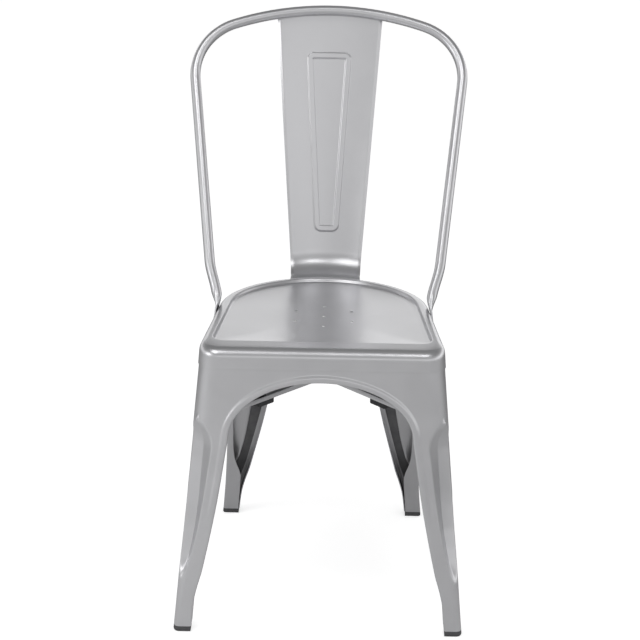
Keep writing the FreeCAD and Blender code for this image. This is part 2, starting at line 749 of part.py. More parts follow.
def splat_sheet(front, back):
    """Full sheet between two depths from the front face of the splat."""
    half = size("splat_top_half") + OVER
    steps = 8
    places = [half * (2 * number / steps - 1) for number in range(steps + 1)]
    return Part.makeLoft([splat_section(x, front, back) for x in places], True, False)


def rounded_prism(points, radius):
    """Prism along Y over a polygon in X and Z whose corners have one radius."""
    edges = []
    starts = []
    count = len(points)
    for number, point in enumerate(points):
        here = Vector(point[0], 0, point[1])
        before = points[number - 1]
        after = points[(number + 1) % count]
        to_before = (Vector(before[0], 0, before[1]) - here).normalize()
        to_after = (Vector(after[0], 0, after[1]) - here).normalize()
        half_angle = to_before.getAngle(to_after) / 2
        cut = radius / math.tan(half_angle)
        inward = (to_before + to_after).normalize()
        tip = here + inward * (radius / math.sin(half_angle) - radius)
        edges.append(Part.Arc(here + to_before * cut, tip, here + to_after * cut).toShape())
        starts.append((here + to_before * cut, here + to_after * cut))
    for number in range(count):
        edges.append(Part.LineSegment(starts[number - 1][1], starts[number][0]).toShape())
    face = Part.Face(Part.Wire(Part.__sortEdges__(edges)))
    return face.extrude(Vector(0, FAR, 0))


def bead_prism(inset):
    """Prism over the outline of the bead, moved in by inset."""
    top = SEAT_TOP + size("bead_top") - inset
    foot = SEAT_TOP + size("bead_foot") + inset
    top_half = size("bead_top_half") - inset
    foot_half = size("bead_foot_half") - inset
    points = [(-foot_half, foot), (foot_half, foot), (top_half, top), (-top_half, top)]
    return rounded_prism(points, max(size("bead_corner") - inset, LEAST_CORNER))


def splat_shape():
    """Sheet of the splat with its raised bead."""
    metal = size("splat_metal")
    rise = size("bead_rise")
    low = SEAT_TOP
    high = HOOP_BASE_LEVEL + size("hoop_rise")
    foot_half = size("splat_foot_half")
    top_half = size("splat_top_half")
    crown_z = hoop_point(0.0, size("hoop_rise")).z
    spread = (top_half - foot_half) / (crown_z - low)
    high_half = foot_half + spread * (high - low)
    outline = Part.makePolygon([
        Vector(-foot_half, 0, low - metal), Vector(foot_half, 0, low - metal),
        Vector(high_half, 0, high), Vector(-high_half, 0, high),
        Vector(-foot_half, 0, low - metal),
    ])
    blank = Part.Face(outline).extrude(Vector(0, FAR, 0))
    body_sheet = splat_sheet(0.0, metal).common(blank)
    ring = bead_prism(0.0).cut(bead_prism(size("bead_width")))
    groove = bead_prism(metal).cut(bead_prism(size("bead_width") - metal))
    bead = splat_sheet(-rise, metal / 2).common(ring)
    hollow = splat_sheet(metal - rise, metal + rise).common(groove)
    return body_sheet.fuse(bead).cut(hollow).removeSplitter()


# Sheet and tube parts as objects of the document

def shape_object(label, shape):
    """Named object that holds a finished shape."""
    thing = doc.addObject("Part::Feature", label)
    thing.Label = label
    thing.Shape = shape
    return thing


def mirrored_shape(shape):
    """Right hand copy of a left hand shape."""
    return shape.mirror(Vector(0, 0, 0), Vector(1, 0, 0))


nodes = [shape_object("seat_pan", seat_shape())]
for which in ("front", "rear"):
    leg = leg_shape(which)
    cap = foot_cap_shape(which)
    for side in ("left", "right"):
        for name, shape in (("leg", leg), ("foot_cap", cap)):
            own = shape if side == "left" else mirrored_shape(shape)
            nodes.append(shape_object("%s_%s_%s" % (which, side, name), own))
nodes.append(shape_object("back_hoop", hoop_shape()))
nodes.append(shape_object("back_splat", splat_shape()))


# Sketches: rectangles and circles held by the sheet

def plane_of(body, role):
    """Origin plane of a body."""
    return [plane for plane in body.Origin.OriginFeatures if plane.Role == role][0]


def new_sketch(body, name, role="XY_Plane", height=None):
    """Sketch on an origin plane of a body, lifted by an expression."""
    sketch = body.newObject("Sketcher::SketchObject", name)
    sketch.AttachmentSupport = [(plane_of(body, role), "")]
    sketch.MapMode = "FlatFace"
    if height:
        sketch.setExpression(".AttachmentOffset.Base.z", height)
    return sketch


def held(sketch, constraint, expression):
    """Add a constraint whose value comes from the sheet."""
    number = sketch.addConstraint(constraint)
    sketch.setExpression("Constraints[%d]" % number, expression)


def add_circle(sketch, diameter, x=None):
    """Circle on the X axis of a sketch."""
    guess = 1.0 if x else 0.0
    circle = Part.Circle(Vector(guess, 0, 0), Vector(0, 0, 1), 2.0)
    number = sketch.addGeometry(circle, False)
    held(sketch, Sketcher.Constraint("Diameter", number, 4.0), diameter)
    if x is None:
        sketch.addConstraint(Sketcher.Constraint("Coincident", number, 3, -1, 1))
        return
    sketch.addConstraint(Sketcher.Constraint("PointOnObject", number, 3, -1))
    held(sketch, Sketcher.Constraint("DistanceX", -1, 1, number, 3, guess), x)


def add_rectangle(sketch, left, right, low, high):
    """Rectangle between four expressions."""
    corners = [Vector(-2, -1, 0), Vector(2, -1, 0), Vector(2, 1, 0), Vector(-2, 1, 0)]
    lines = []
    for a, b in zip(corners, corners[1:] + corners[:1]):
        lines.append(sketch.addGeometry(Part.LineSegment(a, b), False))
    for first, second in zip(lines, lines[1:] + lines[:1]):
        sketch.addConstraint(Sketcher.Constraint("Coincident", first, 2, second, 1))
    for number, kind in zip(lines, ("Horizontal", "Vertical", "Horizontal", "Vertical")):
        sketch.addConstraint(Sketcher.Constraint(kind, number))
    held(sketch, Sketcher.Constraint("DistanceX", -1, 1, lines[0], 1, -2.0), left)
    held(sketch, Sketcher.Constraint("DistanceX", -1, 1, lines[2], 1, 2.0), right)
    held(sketch, Sketcher.Constraint("DistanceY", -1, 1, lines[0], 1, -1.0), low)
    held(sketch, Sketcher.Constraint("DistanceY", -1, 1, lines[2], 1, 1.0), high)


def add_pad(body, sketch, name, length, down=False):
    """Pad of a sketch to a length from the sheet."""
    pad = body.newObject("PartDesign::Pad", name)
    pad.Profile = sketch
    pad.setExpression("Length", length)
    pad.Reversed = down
    return pad


# Brace: two crossed channel straps between the legs, held by a rivet

def brace_space():
    """Space inside the four legs that a strap end may fill."""
    inset = LEG_METAL + size("strap_clearance")
    space = None
    for which in ("front", "rear"):
        levels = (ARCH_SPRING, ARCH_CROWN)
        part = loft([quadrant(which, z, inset) for z in levels]).cut(flute(which, inset))
        for piece in (part, mirrored_shape(part)):
            space = piece if space is None else space.fuse(piece)
    return space.removeSplitter()


inside_legs = shape_object("inside_legs", brace_space())

for name, turn, level in (("lower_brace_strap", 1, STRAP_LEVEL),
                          ("upper_brace_strap", -1, STRAP_LEVEL + " + sizes.strap_metal")):
    body = doc.addObject("PartDesign::Body", name + "_blank")
    web = new_sketch(body, name + "_web")
    add_rectangle(web, "-sizes.strap_reach", "sizes.strap_reach",
                  "-sizes.strap_width / 2", "sizes.strap_width / 2")
    add_pad(body, web, name + "_web_pad", "sizes.strap_metal")
    lips = new_sketch(body, name + "_lips")
    for start, stop in (("-sizes.strap_reach", "-sizes.strap_flat"),
                        ("sizes.strap_flat", "sizes.strap_reach")):
        add_rectangle(lips, start, stop, "-sizes.strap_width / 2",
                      "-sizes.strap_width / 2 + sizes.strap_metal")
        add_rectangle(lips, start, stop, "sizes.strap_width / 2 - sizes.strap_metal",
                      "sizes.strap_width / 2")
    add_pad(body, lips, name + "_lip_pad", "sizes.strap_metal + sizes.strap_lip")
    holes = new_sketch(body, name + "_holes")
    add_circle(holes, "sizes.rivet_diameter + 2 * sizes.fit_clearance")
    for side in ("", "-"):
        add_circle(holes, "sizes.stem_diameter + 2 * sizes.fit_clearance",
                   side + "sizes.bumper_place")
    pocket = body.newObject("PartDesign::Pocket", name + "_pocket")
    pocket.Profile = holes
    pocket.Type = 1
    pocket.Midplane = True
    body.setExpression(".Placement.Base.y", "-sizes.brace_centre")
    body.setExpression(".Placement.Base.z", level)
    body.setExpression(".Placement.Rotation.Angle", "%d * sizes.strap_angle" % turn)
    strap = doc.addObject("Part::Common", name)
    strap.Label = name
    strap.Base = body
    strap.Tool = inside_legs
    nodes.append(strap)

rivet = doc.addObject("PartDesign::Body", "brace_rivet")
shank = new_sketch(rivet, "rivet_shank")
add_circle(shank, "sizes.rivet_diameter")
add_pad(rivet, shank, "rivet_shank_pad", "2 * sizes.strap_metal")
lower = new_sketch(rivet, "rivet_lower_head")
add_circle(lower, "sizes.rivet_head")
add_pad(rivet, lower, "rivet_lower_pad", "sizes.rivet_rise", True)
upper = new_sketch(rivet, "rivet_upper_head", height="2 * sizes.strap_metal")
add_circle(upper, "sizes.rivet_head")
last = add_pad(rivet, upper, "rivet_upper_pad", "sizes.rivet_rise")
doc.recompute()


def round_edges(body, name, base, radius, chosen):
    """Fillet of the edges of a feature that a test chooses."""
    edges = ["Edge%d" % (number + 1) for number, edge in enumerate(base.Shape.Edges)
             if chosen(edge)]
    fillet = body.newObject("PartDesign::Fillet", name)
    fillet.Base = (base, edges)
    fillet.setExpression("Radius", radius)
    return fillet


rivet_top = 2 * size("strap_metal") + size("rivet_rise")
rivet_ends = (rivet_top, -size("rivet_rise"))
round_edges(rivet, "rivet_round", last, "sizes.rivet_round",
            lambda edge: any(abs(edge.CenterOfMass.z - z) < 0.01 for z in rivet_ends))
rivet.setExpression(".Placement.Base.y", "-sizes.brace_centre")
rivet.setExpression(".Placement.Base.z", STRAP_LEVEL)
nodes.append(rivet)

# Bumpers: rubber blocks under the straps, each with a stem that snaps through its strap

BUMPERS = [
    ("front_left_bumper", 1, 180, STRAP_LEVEL),
    ("rear_right_bumper", 1, 0, STRAP_LEVEL),
    ("front_right_bumper", -1, 0, STRAP_LEVEL + " + sizes.strap_metal"),
    ("rear_left_bumper", -1, 180, STRAP_LEVEL + " + sizes.strap_metal"),
]

for name, turn, flip, level in BUMPERS:
    bumper = doc.addObject("PartDesign::Body", name)
    block = new_sketch(bumper, name + "_block")
    add_rectangle(block, "-sizes.bumper_length / 2", "sizes.bumper_length / 2",
                  "-sizes.bumper_width / 2", "sizes.bumper_width / 2")
    block_pad = add_pad(bumper, block, name + "_block_pad", "sizes.bumper_height", True)
    doc.recompute()
    soft = round_edges(bumper, name + "_round", block_pad, "sizes.bumper_round",
                       lambda edge: edge.CenterOfMass.z < -0.01)
    stem = new_sketch(bumper, name + "_stem")
    add_circle(stem, "sizes.stem_diameter")
    add_pad(bumper, stem, name + "_stem_pad", "sizes.strap_metal")
    head = new_sketch(bumper, name + "_head", height="sizes.strap_metal")
    add_circle(head, "sizes.stem_head")
    add_pad(bumper, head, name + "_head_pad", "sizes.stem_rise")
    reach = "cos(%d + %d * sizes.strap_angle)" % (flip, turn)
    depth = "sin(%d + %d * sizes.strap_angle)" % (flip, turn)
    bumper.setExpression(".Placement.Base.x", "sizes.bumper_place * " + reach)
    bumper.setExpression(".Placement.Base.y", "sizes.bumper_place * %s - sizes.brace_centre" % depth)
    bumper.setExpression(".Placement.Base.z", level)
    bumper.setExpression(".Placement.Rotation.Angle", "%d * sizes.strap_angle" % turn)
    nodes.append(bumper)

doc.recompute()

# Check every object, then write one file for each piece

for thing in doc.Objects:
    if "Invalid" in thing.State or "Error" in thing.State:
        raise RuntimeError("%s failed: %s" % (thing.Label, thing.State))

os.makedirs("parts", exist_ok=True)
for node in nodes:
    if node.Shape.isNull() or not node.Shape.isValid():
        raise RuntimeError("bad shape: " + node.Label)
    if len(node.Shape.Solids) != 1:
        raise RuntimeError("%s has %d solids" % (node.Label, len(node.Shape.Solids)))
for node in nodes:
    box = node.Shape.BoundBox
    print("%-20s %9.0f mm3  x %7.1f %7.1f  y %7.1f %7.1f  z %7.1f %7.1f" % (
        node.Label, node.Shape.Volume, box.XMin, box.XMax, box.YMin, box.YMax, box.ZMin, box.ZMax))
    node.Shape.exportStep("parts/%s.step" % node.Label)
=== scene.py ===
# %% [markdown]
# A stacking chair of pressed steel sheet, in satin silver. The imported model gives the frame: every
# piece here is made in its place, in metres, +Z up, with the front of the chair towards -Y. The CAD
# solids have square sheet edges. A real pressing has soft ones, and these soft edges catch the light,
# so the seat, legs, hoop and splat are modelled again as sheets with rounded forms.

# %% Load the frame
import bisect
import functools
import json
import math

import bmesh
import bpy
import numpy as np
from mathutils import Matrix, Vector

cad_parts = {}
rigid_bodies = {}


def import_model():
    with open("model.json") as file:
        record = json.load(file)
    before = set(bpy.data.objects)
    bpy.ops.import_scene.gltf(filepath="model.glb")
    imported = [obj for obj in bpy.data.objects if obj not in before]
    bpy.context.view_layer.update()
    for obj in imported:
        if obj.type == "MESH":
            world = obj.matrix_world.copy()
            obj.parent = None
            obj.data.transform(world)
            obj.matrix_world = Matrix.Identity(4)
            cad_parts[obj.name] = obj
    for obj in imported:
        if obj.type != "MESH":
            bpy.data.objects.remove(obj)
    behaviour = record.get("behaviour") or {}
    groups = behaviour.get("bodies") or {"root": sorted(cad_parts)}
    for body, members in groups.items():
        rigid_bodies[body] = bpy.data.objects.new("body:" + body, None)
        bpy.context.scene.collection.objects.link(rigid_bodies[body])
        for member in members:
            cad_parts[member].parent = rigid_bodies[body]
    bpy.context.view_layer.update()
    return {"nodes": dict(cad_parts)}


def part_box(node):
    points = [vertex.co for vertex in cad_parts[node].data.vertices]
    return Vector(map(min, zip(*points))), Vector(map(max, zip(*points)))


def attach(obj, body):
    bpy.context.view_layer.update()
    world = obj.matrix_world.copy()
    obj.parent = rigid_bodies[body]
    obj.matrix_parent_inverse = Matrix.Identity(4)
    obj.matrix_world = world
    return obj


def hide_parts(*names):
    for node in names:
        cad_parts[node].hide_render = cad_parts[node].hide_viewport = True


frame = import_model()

MM = 0.001
NODES = frame["nodes"]

# %% [markdown]
# Shapes first need a plan outline. Seen from above, the seat is a square in front and a half circle
# behind, and the legs flare from that outline to four feet. Every wall joins the outline at the seat
# to a wider one at the floor with straight lines, so one function gives a wall point at any height. It
# is written once, in millimetres, and the seat and the four legs all use it.

# %% Sizes of the plan outline
seat_low, seat_high = [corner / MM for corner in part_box("seat_pan")]

SEAT_TOP = seat_high.z
LEVEL = SEAT_TOP - 6.0  # height at which the walls follow the seat outline
SKIRT_BOTTOM = seat_low.z
SEAT_FRONT = -221.9
REAR_RADIUS = 161.5
REAR_Y = seat_high.y - REAR_RADIUS
TAPER = math.radians(5.2)
FRONT_CORNER = 30.0
FRONT_STANCE = 215.9
FRONT_REACH = -255.3
REAR_STANCE = 167.4
REAR_REACH = 227.5
FOOT_CORNER = 9.0
LEAST_RADIUS = 1.0
SEAM_Y = -47.5
CORNER_ANGLES = (52.0, 38.0)
BOW = ((170.0, 135.9), (185.0, 45.9))
SEAT_METAL = 1.2
LEG_METAL = 1.5
LEG_TUCK = SEAT_METAL + 0.3
LEG_TOP = 423.0
LEG_BOTTOM = 9.0
STRAIGHT = 0.001  # a bow below this is a straight line
print("seat rim at", round(SEAT_TOP, 1), "mm, skirt from", round(SKIRT_BOTTOM, 1), "mm")


# %% Walls from the seat to the floor
def middle(a, b):
    """Point halfway between two plan points."""
    return ((a[0] + b[0]) / 2, (a[1] + b[1]) / 2)


def on_arc(centre, radius, degrees):
    """Point of a circle; 0 degrees looks to -X and 90 degrees to +Y."""
    turn = math.radians(degrees)
    return (centre[0] - radius * math.cos(turn), centre[1] + radius * math.sin(turn))


def side_x(distance, y):
    """X of the tapered left side line at a distance from the rear centre."""
    return -(distance - (y - REAR_Y) * math.sin(TAPER)) / math.cos(TAPER)


def front_wall(front_y, distance, radius):
    """Left half of a front wall, its corner and the side wall up to the seam."""
    centre = (side_x(distance - radius, front_y + radius), front_y + radius)
    taper = math.degrees(TAPER)
    corner = [on_arc(centre, radius, angle) for angle in (-90, (taper - 90) / 2, taper)]
    start = (0.0, front_y)
    seam = (side_x(distance, SEAM_Y), SEAM_Y)
    return [(start, middle(start, corner[0]), corner[0]), tuple(corner),
            (corner[2], middle(corner[2], seam), seam)]


def rear_wall_at_seat(distance):
    """Left half of the rear wall at the seat, from the middle to the seam."""
    angles = (90.0, *CORNER_ANGLES, math.degrees(TAPER))
    segments = []
    for a, b in zip(angles, angles[1:]):
        arc = [on_arc((0.0, REAR_Y), distance, angle) for angle in (a, (a + b) / 2, b)]
        segments.append(tuple(arc))
    end = segments[-1][2]
    seam = (side_x(distance, SEAM_Y), SEAM_Y)
    return segments + [(end, middle(end, seam), seam)]


def floor_distance(inset):
    """Distance of the side wall at the floor from the rear centre."""
    along = (FRONT_REACH - REAR_Y) * math.sin(TAPER)
    return FRONT_STANCE * math.cos(TAPER) + along - inset


def rear_wall_at_floor(inset):
    """Left half of the rear wall carried down to the floor, moved in by inset."""
    centre = (FOOT_CORNER - REAR_STANCE, REAR_REACH - FOOT_CORNER)
    radius = max(FOOT_CORNER - inset, LEAST_RADIUS)
    corner = [on_arc(centre, radius, angle) for angle in (90, 45, 0)]
    start = (0.0, REAR_REACH - inset)
    bow = [(inset - x, y) for x, y in BOW]
    seam = (side_x(floor_distance(inset), SEAM_Y), SEAM_Y)
    return [(start, middle(start, corner[0]), corner[0]), tuple(corner),
            (corner[2], bow[0], bow[1]), (bow[1], middle(bow[1], seam), seam)]


def blend(first, last, share):
    """Walls between two levels, point by point."""
    return [tuple((p[0] + (q[0] - p[0]) * share, p[1] + (q[1] - p[1]) * share)
                  for p, q in zip(one, two)) for one, two in zip(first, last)]


def wall(which, z, tuck=0.0):
    """Front or rear left wall at height z, moved in by tuck at the seat."""
    if which == "front":
        seat = front_wall(SEAT_FRONT + tuck, REAR_RADIUS - tuck, FRONT_CORNER - tuck)
        floor = front_wall(FRONT_REACH, floor_distance(0.0), FOOT_CORNER)
    else:
        seat = rear_wall_at_seat(REAR_RADIUS - tuck)
        floor = rear_wall_at_floor(0.0)
    return blend(seat, floor, max(LEVEL - z, 0.0) / LEVEL)


def along_segment(segment, share):
    """Point of a straight or round segment at a share of its length."""
    a, m, b = [Vector(p) for p in segment]
    if (m - (a + b) / 2).length < STRAIGHT:
        return a.lerp(b, share)
    chord, bow = (b - a) / 2, m - (a + b) / 2
    radius = (chord.length_squared + bow.length_squared) / (2 * bow.length)
    half = math.atan2(chord.length, radius - bow.length)
    centre = m - bow.normalized() * radius
    turn = half * (2 * share - 1)
    outward = bow.normalized() * radius * math.cos(turn)
    return centre + outward + chord.normalized() * radius * math.sin(turn)


print("front foot corner", tuple(round(v, 1) for v in wall("front", 0.0)[1][1]))

# %% [markdown]
# The seat is one sheet: a skirt, a rolled rim, a border and a shallow dish. It is made the way a
# turner would think of it: a closed ring of points on the outline, extruded ring after ring up the
# skirt, over the rim and down into the dish. Each ring is the plan outline moved in by some
# millimetres, at some height. In front the border leans forward a little, and so it mirrors a darker
# part of the surroundings than the dish does. Solidify then gives the sheet its thickness.

# %% Rings of the seat outline
RING_COUNTS = {"front": (12, 10, 14), "rear": (14, 4, 14, 6)}
DISH_CORNER = 22.0
FRONT_ROLL = 14.0
FRONT_BAND = 37.0
FRONT_LEAN = 2.6


def lean_forward(p, z):
    """How far the front border lies below the level rim."""
    up = min(max((z - SEAT_TOP + FRONT_ROLL) / FRONT_ROLL, 0.0), 1.0)
    forward = min(max((SEAT_FRONT + FRONT_BAND - p.y) / FRONT_BAND, 0.0), 1.0)
    return FRONT_LEAN * forward * up


def seat_ring(z, side, front, corner):
    """Points of the closed seat outline, moved in by side and by front at the front."""
    share = max(LEVEL - z, 0.0) / LEVEL
    fore = blend(front_wall(SEAT_FRONT + front, REAR_RADIUS - side, corner),
                 front_wall(FRONT_REACH + front, floor_distance(side), corner), share)
    aft = blend(rear_wall_at_seat(REAR_RADIUS - side), rear_wall_at_floor(side), share)
    left = []
    for segment, count in zip(fore, RING_COUNTS["front"]):
        left += [along_segment(segment, step / count) for step in range(count)]
    for segment, count in reversed(list(zip(aft, RING_COUNTS["rear"]))):
        left += [along_segment(segment, 1 - step / count) for step in range(count)]
    left.append(Vector(aft[0][0]))
    right = [Vector((-p.x, p.y)) for p in left[-2:0:-1]]
    return [Vector((p.x, p.y, z - lean_forward(p, z))) * MM for p in left + right]


def place(verts, points):
    """Put each vertex on its point."""
    for vert, point in zip(verts, points):
        vert.co = point


def ring_edges(bm, ring):
    """Edges that close a ring of vertices."""
    return [bm.edges.get(pair) for pair in zip(ring, ring[1:] + ring[:1])]


def extrude_ring(bm, ring, points):
    """Extrude a closed ring of vertices and put the new ring on points."""
    made = bmesh.ops.extrude_edge_only(bm, edges=ring_edges(bm, ring))
    old = set(ring)
    new = {}
    for edge in [item for item in made["geom"] if isinstance(item, bmesh.types.BMEdge)]:
        for vert in edge.verts:
            for other in vert.link_edges:
                partner = other.other_vert(vert)
                if partner in old:
                    new[partner] = vert
    fresh = [new[vert] for vert in ring]
    place(fresh, points)
    return fresh


def first_ring(bm, points):
    """Closed ring of vertices that starts from a circle."""
    made = bmesh.ops.create_circle(bm, cap_ends=False, segments=len(points), radius=0.1)
    ring = made["verts"]
    place(ring, points)
    return ring


# %% Pieces from meshes
SOFT_EDGE = 0.3
SOFT_EDGE_ANGLE = math.radians(50)


def into_scene(name, data):
    """New object of the scene."""
    made = bpy.data.objects.new(name, data)
    bpy.context.scene.collection.objects.link(made)
    return made


def finish_piece(bm, name, node):
    """Turn a bmesh into an object that rides on the chair and stands for its CAD node."""
    mesh = bpy.data.meshes.new(name)
    bm.to_mesh(mesh)
    bm.free()
    for face in mesh.polygons:
        face.use_smooth = True
    piece = into_scene(name, mesh)
    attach(piece, "root")
    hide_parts(node)
    return piece


def round_edges(piece, name, width, angle):
    """Round the edges of a piece that are sharper than an angle."""
    edge = piece.modifiers.new(name, "BEVEL")
    edge.width = width * MM
    edge.segments = 2
    edge.limit_method = "ANGLE"
    edge.angle_limit = angle
    edge.harden_normals = True


def add_thickness(piece, metal):
    """Give a sheet its thickness, inwards from the modelled face."""
    solid = piece.modifiers.new("sheet metal", "SOLIDIFY")
    solid.thickness = metal * MM
    solid.offset = -1.0
    solid.use_even_offset = True
    round_edges(piece, "soft sheet edges", SOFT_EDGE, SOFT_EDGE_ANGLE)
    return solid


# %% Rings of the seat sheet
RIM_ROLL = 9.0
RIM_WIDTH = 14.0
SKIRT_RINGS = (SKIRT_BOTTOM, SKIRT_BOTTOM + 0.8, SKIRT_BOTTOM + 6.0, SEAT_TOP - FRONT_ROLL - 1.5)
BORDER_SHARES = (0.35, 0.7, 0.88)
DISH_SLOPE = ((0.0, 0.0), (0.7, 0.2), (1.3, 0.7), (2.0, 1.7), (2.8, 3.1), (3.5, 4.2), (4.3, 4.75),
              (5.8, 5.05), (12.0, 5.3), (20.0, 5.8), (32.0, 6.4), (46.0, 6.9), (60.0, 7.3),
              (74.0, 7.7), (84.0, 7.9), (93.0, 8.0))  # inward, down
DISH_LEAST_CORNER = 8.0


def roll_inset(z, radius):
    """Inset of a rolled edge at height z."""
    above = z - (SEAT_TOP - radius)
    if above <= 0:
        return 0.0
    return radius - math.sqrt(max(radius ** 2 - above ** 2, 0.0))


def seat_stations():
    """Rings of the seat sheet from the skirt to the middle: height, side and front inset, corner."""
    stations = [(z, 0.0, 0.0, FRONT_CORNER) for z in SKIRT_RINGS]
    for degrees in range(0, 91, 9):
        z = SEAT_TOP - FRONT_ROLL * (1 - math.sin(math.radians(degrees)))
        side = roll_inset(z, RIM_ROLL)
        stations.append((z, side, roll_inset(z, FRONT_ROLL), FRONT_CORNER - side))
    for share in BORDER_SHARES:
        side = RIM_ROLL + (RIM_WIDTH - RIM_ROLL) * share
        front = FRONT_ROLL + (FRONT_BAND - FRONT_ROLL) * share
        corner = FRONT_CORNER - RIM_ROLL + (DISH_CORNER - FRONT_CORNER + RIM_ROLL) * share
        stations.append((SEAT_TOP, side, front, corner))
    for inward, down in DISH_SLOPE:
        corner = max(DISH_CORNER - inward, DISH_LEAST_CORNER)
        stations.append((SEAT_TOP - down, RIM_WIDTH + inward, FRONT_BAND + inward, corner))
    return stations


seat_bm = bmesh.new()
stations = seat_stations()
ring = first_ring(seat_bm, seat_ring(*stations[0]))
for station in stations[1:]:
    ring = extrude_ring(seat_bm, ring, seat_ring(*station))
print("seat rings", len(stations), "with", len(ring), "points each")

# %% Dish with its drain holes
DRAIN_COUNT = 6
DRAIN_CIRCLE = 49.0
DRAIN_RADIUS = 2.5
DRAIN_Y = -37.1
DISH_Z = SEAT_TOP - DISH_SLOPE[-1][1]

turns = [math.radians(90 + 360 / DRAIN_COUNT * number) for number in range(DRAIN_COUNT)]
drains = [Vector((math.cos(turn), math.sin(turn), 0)) * DRAIN_CIRCLE for turn in turns]
drains.append(Vector((0, 0, 0)))
rims = ring_edges(seat_bm, ring)
for drain in drains:
    spot = drain + Vector((0, DRAIN_Y, DISH_Z))
    made = bmesh.ops.create_circle(seat_bm, cap_ends=False, segments=24, radius=DRAIN_RADIUS * MM,
                                   matrix=Matrix.Translation(spot * MM))
    rims += dict.fromkeys(edge for vert in made["verts"] for edge in vert.link_edges)
bmesh.ops.triangle_fill(seat_bm, use_beauty=True, edges=rims, normal=(0, 0, 1))
bmesh.ops.recalc_face_normals(seat_bm, faces=seat_bm.faces)
print("seat", len(seat_bm.faces), "faces,", len(drains), "drain holes")
seat = finish_piece(seat_bm, "seat_sheet", "seat_pan")
add_thickness(seat, SEAT_METAL)

# %% [markdown]
# Each leg is one sheet, folded round a corner: a front wing, a side wing, a lip pressed proud along the
# arches, a flange turned in behind that lip, and a fluted corner. Modelled by hand, such a form is a
# patch of quads whose lines run along the arch, because the light shows every line that doesn't. So a
# grid is laid over each wing, one side on the free edge and the other on the corner, and every vertex
# asks the plan outline where the wall is. The lip and the flute are then moves along the wall's normal.

# %% Tables of the leg
# Wing widths, flange depths, and half mouth and depth of the flute, each by height.
WING_WIDTHS = ((300.0, 56.0), (195.0, 48.0), (97.0, 36.2), (68.0, 30.5), (44.0, 27.4), (-5.0, 27.4))
FLANGE = ((25.0, 25.0), (80.0, 25.0), (92.0, 22.0), (104.0, 17.5), (118.0, 13.5), (136.0, 11.0),
          (160.0, 10.0), (430.0, 10.0))
FLUTE = ((84.0, 2.0, 1.5), (88.0, 5.0, 5.0), (100.0, 9.3, 10.0), (112.0, 12.0, 13.5),
         (134.0, 15.5, 16.5), (160.0, 19.0, 19.0), (200.0, 22.5, 20.5), (286.0, 27.5, 20.5),
         (300.0, 24.5, 18.0), (314.0, 16.5, 12.5), (320.0, 10.0, 9.0), (328.0, 1.0, 1.0))
FLUTE_LOW, FLUTE_HIGH = FLUTE[0][0], FLUTE[-1][0]
ARCH_SPRING = 300.0
ARCH_CROWN = 385.0


def from_table(table, z, column=1):
    """Value of a table at height z, between its rows."""
    rows = sorted(table)
    return float(np.interp(z, [row[0] for row in rows], [row[column] for row in rows]))


def flute_size(z):
    """Half mouth and depth of the flute at height z."""
    return from_table(FLUTE, z, 1), from_table(FLUTE, z, 2)


def cubic(t, span, values, slopes):
    """Curve between two values that leaves and arrives at the given slopes."""
    return ((2 * t ** 3 - 3 * t ** 2 + 1) * values[0] + (t ** 3 - 2 * t ** 2 + t) * span * slopes[0]
            + (3 * t ** 2 - 2 * t ** 3) * values[1] + (t ** 3 - t ** 2) * span * slopes[1])


def smooth_table(table, z):
    """Smooth curve through the rows of a table."""
    knots, values = zip(*sorted(table))
    slopes = []
    for i in range(len(knots)):
        low, high = max(i - 1, 0), min(i + 1, len(knots) - 1)
        slopes.append((values[high] - values[low]) / (knots[high] - knots[low]))
    i = min(max(bisect.bisect_right(knots, z) - 1, 0), len(knots) - 2)
    span = knots[i + 1] - knots[i]
    return cubic((z - knots[i]) / span, span, values[i:i + 2], slopes[i:i + 2])


def ease(value):
    """Smooth step from 0 to 1."""
    value = min(max(value, 0.0), 1.0)
    return value * value * (3 - 2 * value)


print("wing at the ankle", round(smooth_table(WING_WIDTHS, LEG_BOTTOM), 1), "mm wide")


# %% Wall points by their distance from the corner
SEGMENT_STEPS = 16


def corner_line(which, z):
    """Outer corner of a left leg at height z."""
    share = (LEVEL - z) / LEVEL
    if which == "front":
        seat_y = SEAT_FRONT + LEG_TUCK
        seat = Vector((side_x(REAR_RADIUS - LEG_TUCK, seat_y), seat_y))
        return seat.lerp(Vector((-FRONT_STANCE, FRONT_REACH)), share)
    seat = Vector(on_arc((0.0, REAR_Y), REAR_RADIUS - LEG_TUCK, 45))
    return seat.lerp(Vector((-REAR_STANCE, REAR_REACH)), share)


@functools.lru_cache(maxsize=None)
def wall_line(which, z):
    """Points of the wall at height z, their distance along it, and the corner's distance."""
    segments = wall(which, z, LEG_TUCK)
    points = [Vector(segments[0][0])]
    runs = [0.0]
    for segment in segments:
        for step in range(1, SEGMENT_STEPS + 1):
            points.append(along_segment(segment, step / SEGMENT_STEPS))
            runs.append(runs[-1] + (points[-1] - points[-2]).length)
    corner = runs[SEGMENT_STEPS + SEGMENT_STEPS // 2]
    return points, runs, corner


def wall_point(which, z, distance):
    """Wall point at a distance from the corner, negative towards the middle, with its normal."""
    points, runs, corner = wall_line(which, round(z, 1))
    run = min(max(corner + distance, 0.0), runs[-1])
    index = min(max(bisect.bisect_right(runs, run) - 1, 0), len(runs) - 2)
    share = (run - runs[index]) / (runs[index + 1] - runs[index])
    along = (points[index + 1] - points[index]).normalized()
    normal = Vector((along.y, -along.x))
    centre_way = Vector((0.0, REAR_Y)) - points[index]
    if normal.dot(centre_way) > 0:
        normal = -normal
    return points[index].lerp(points[index + 1], share), normal


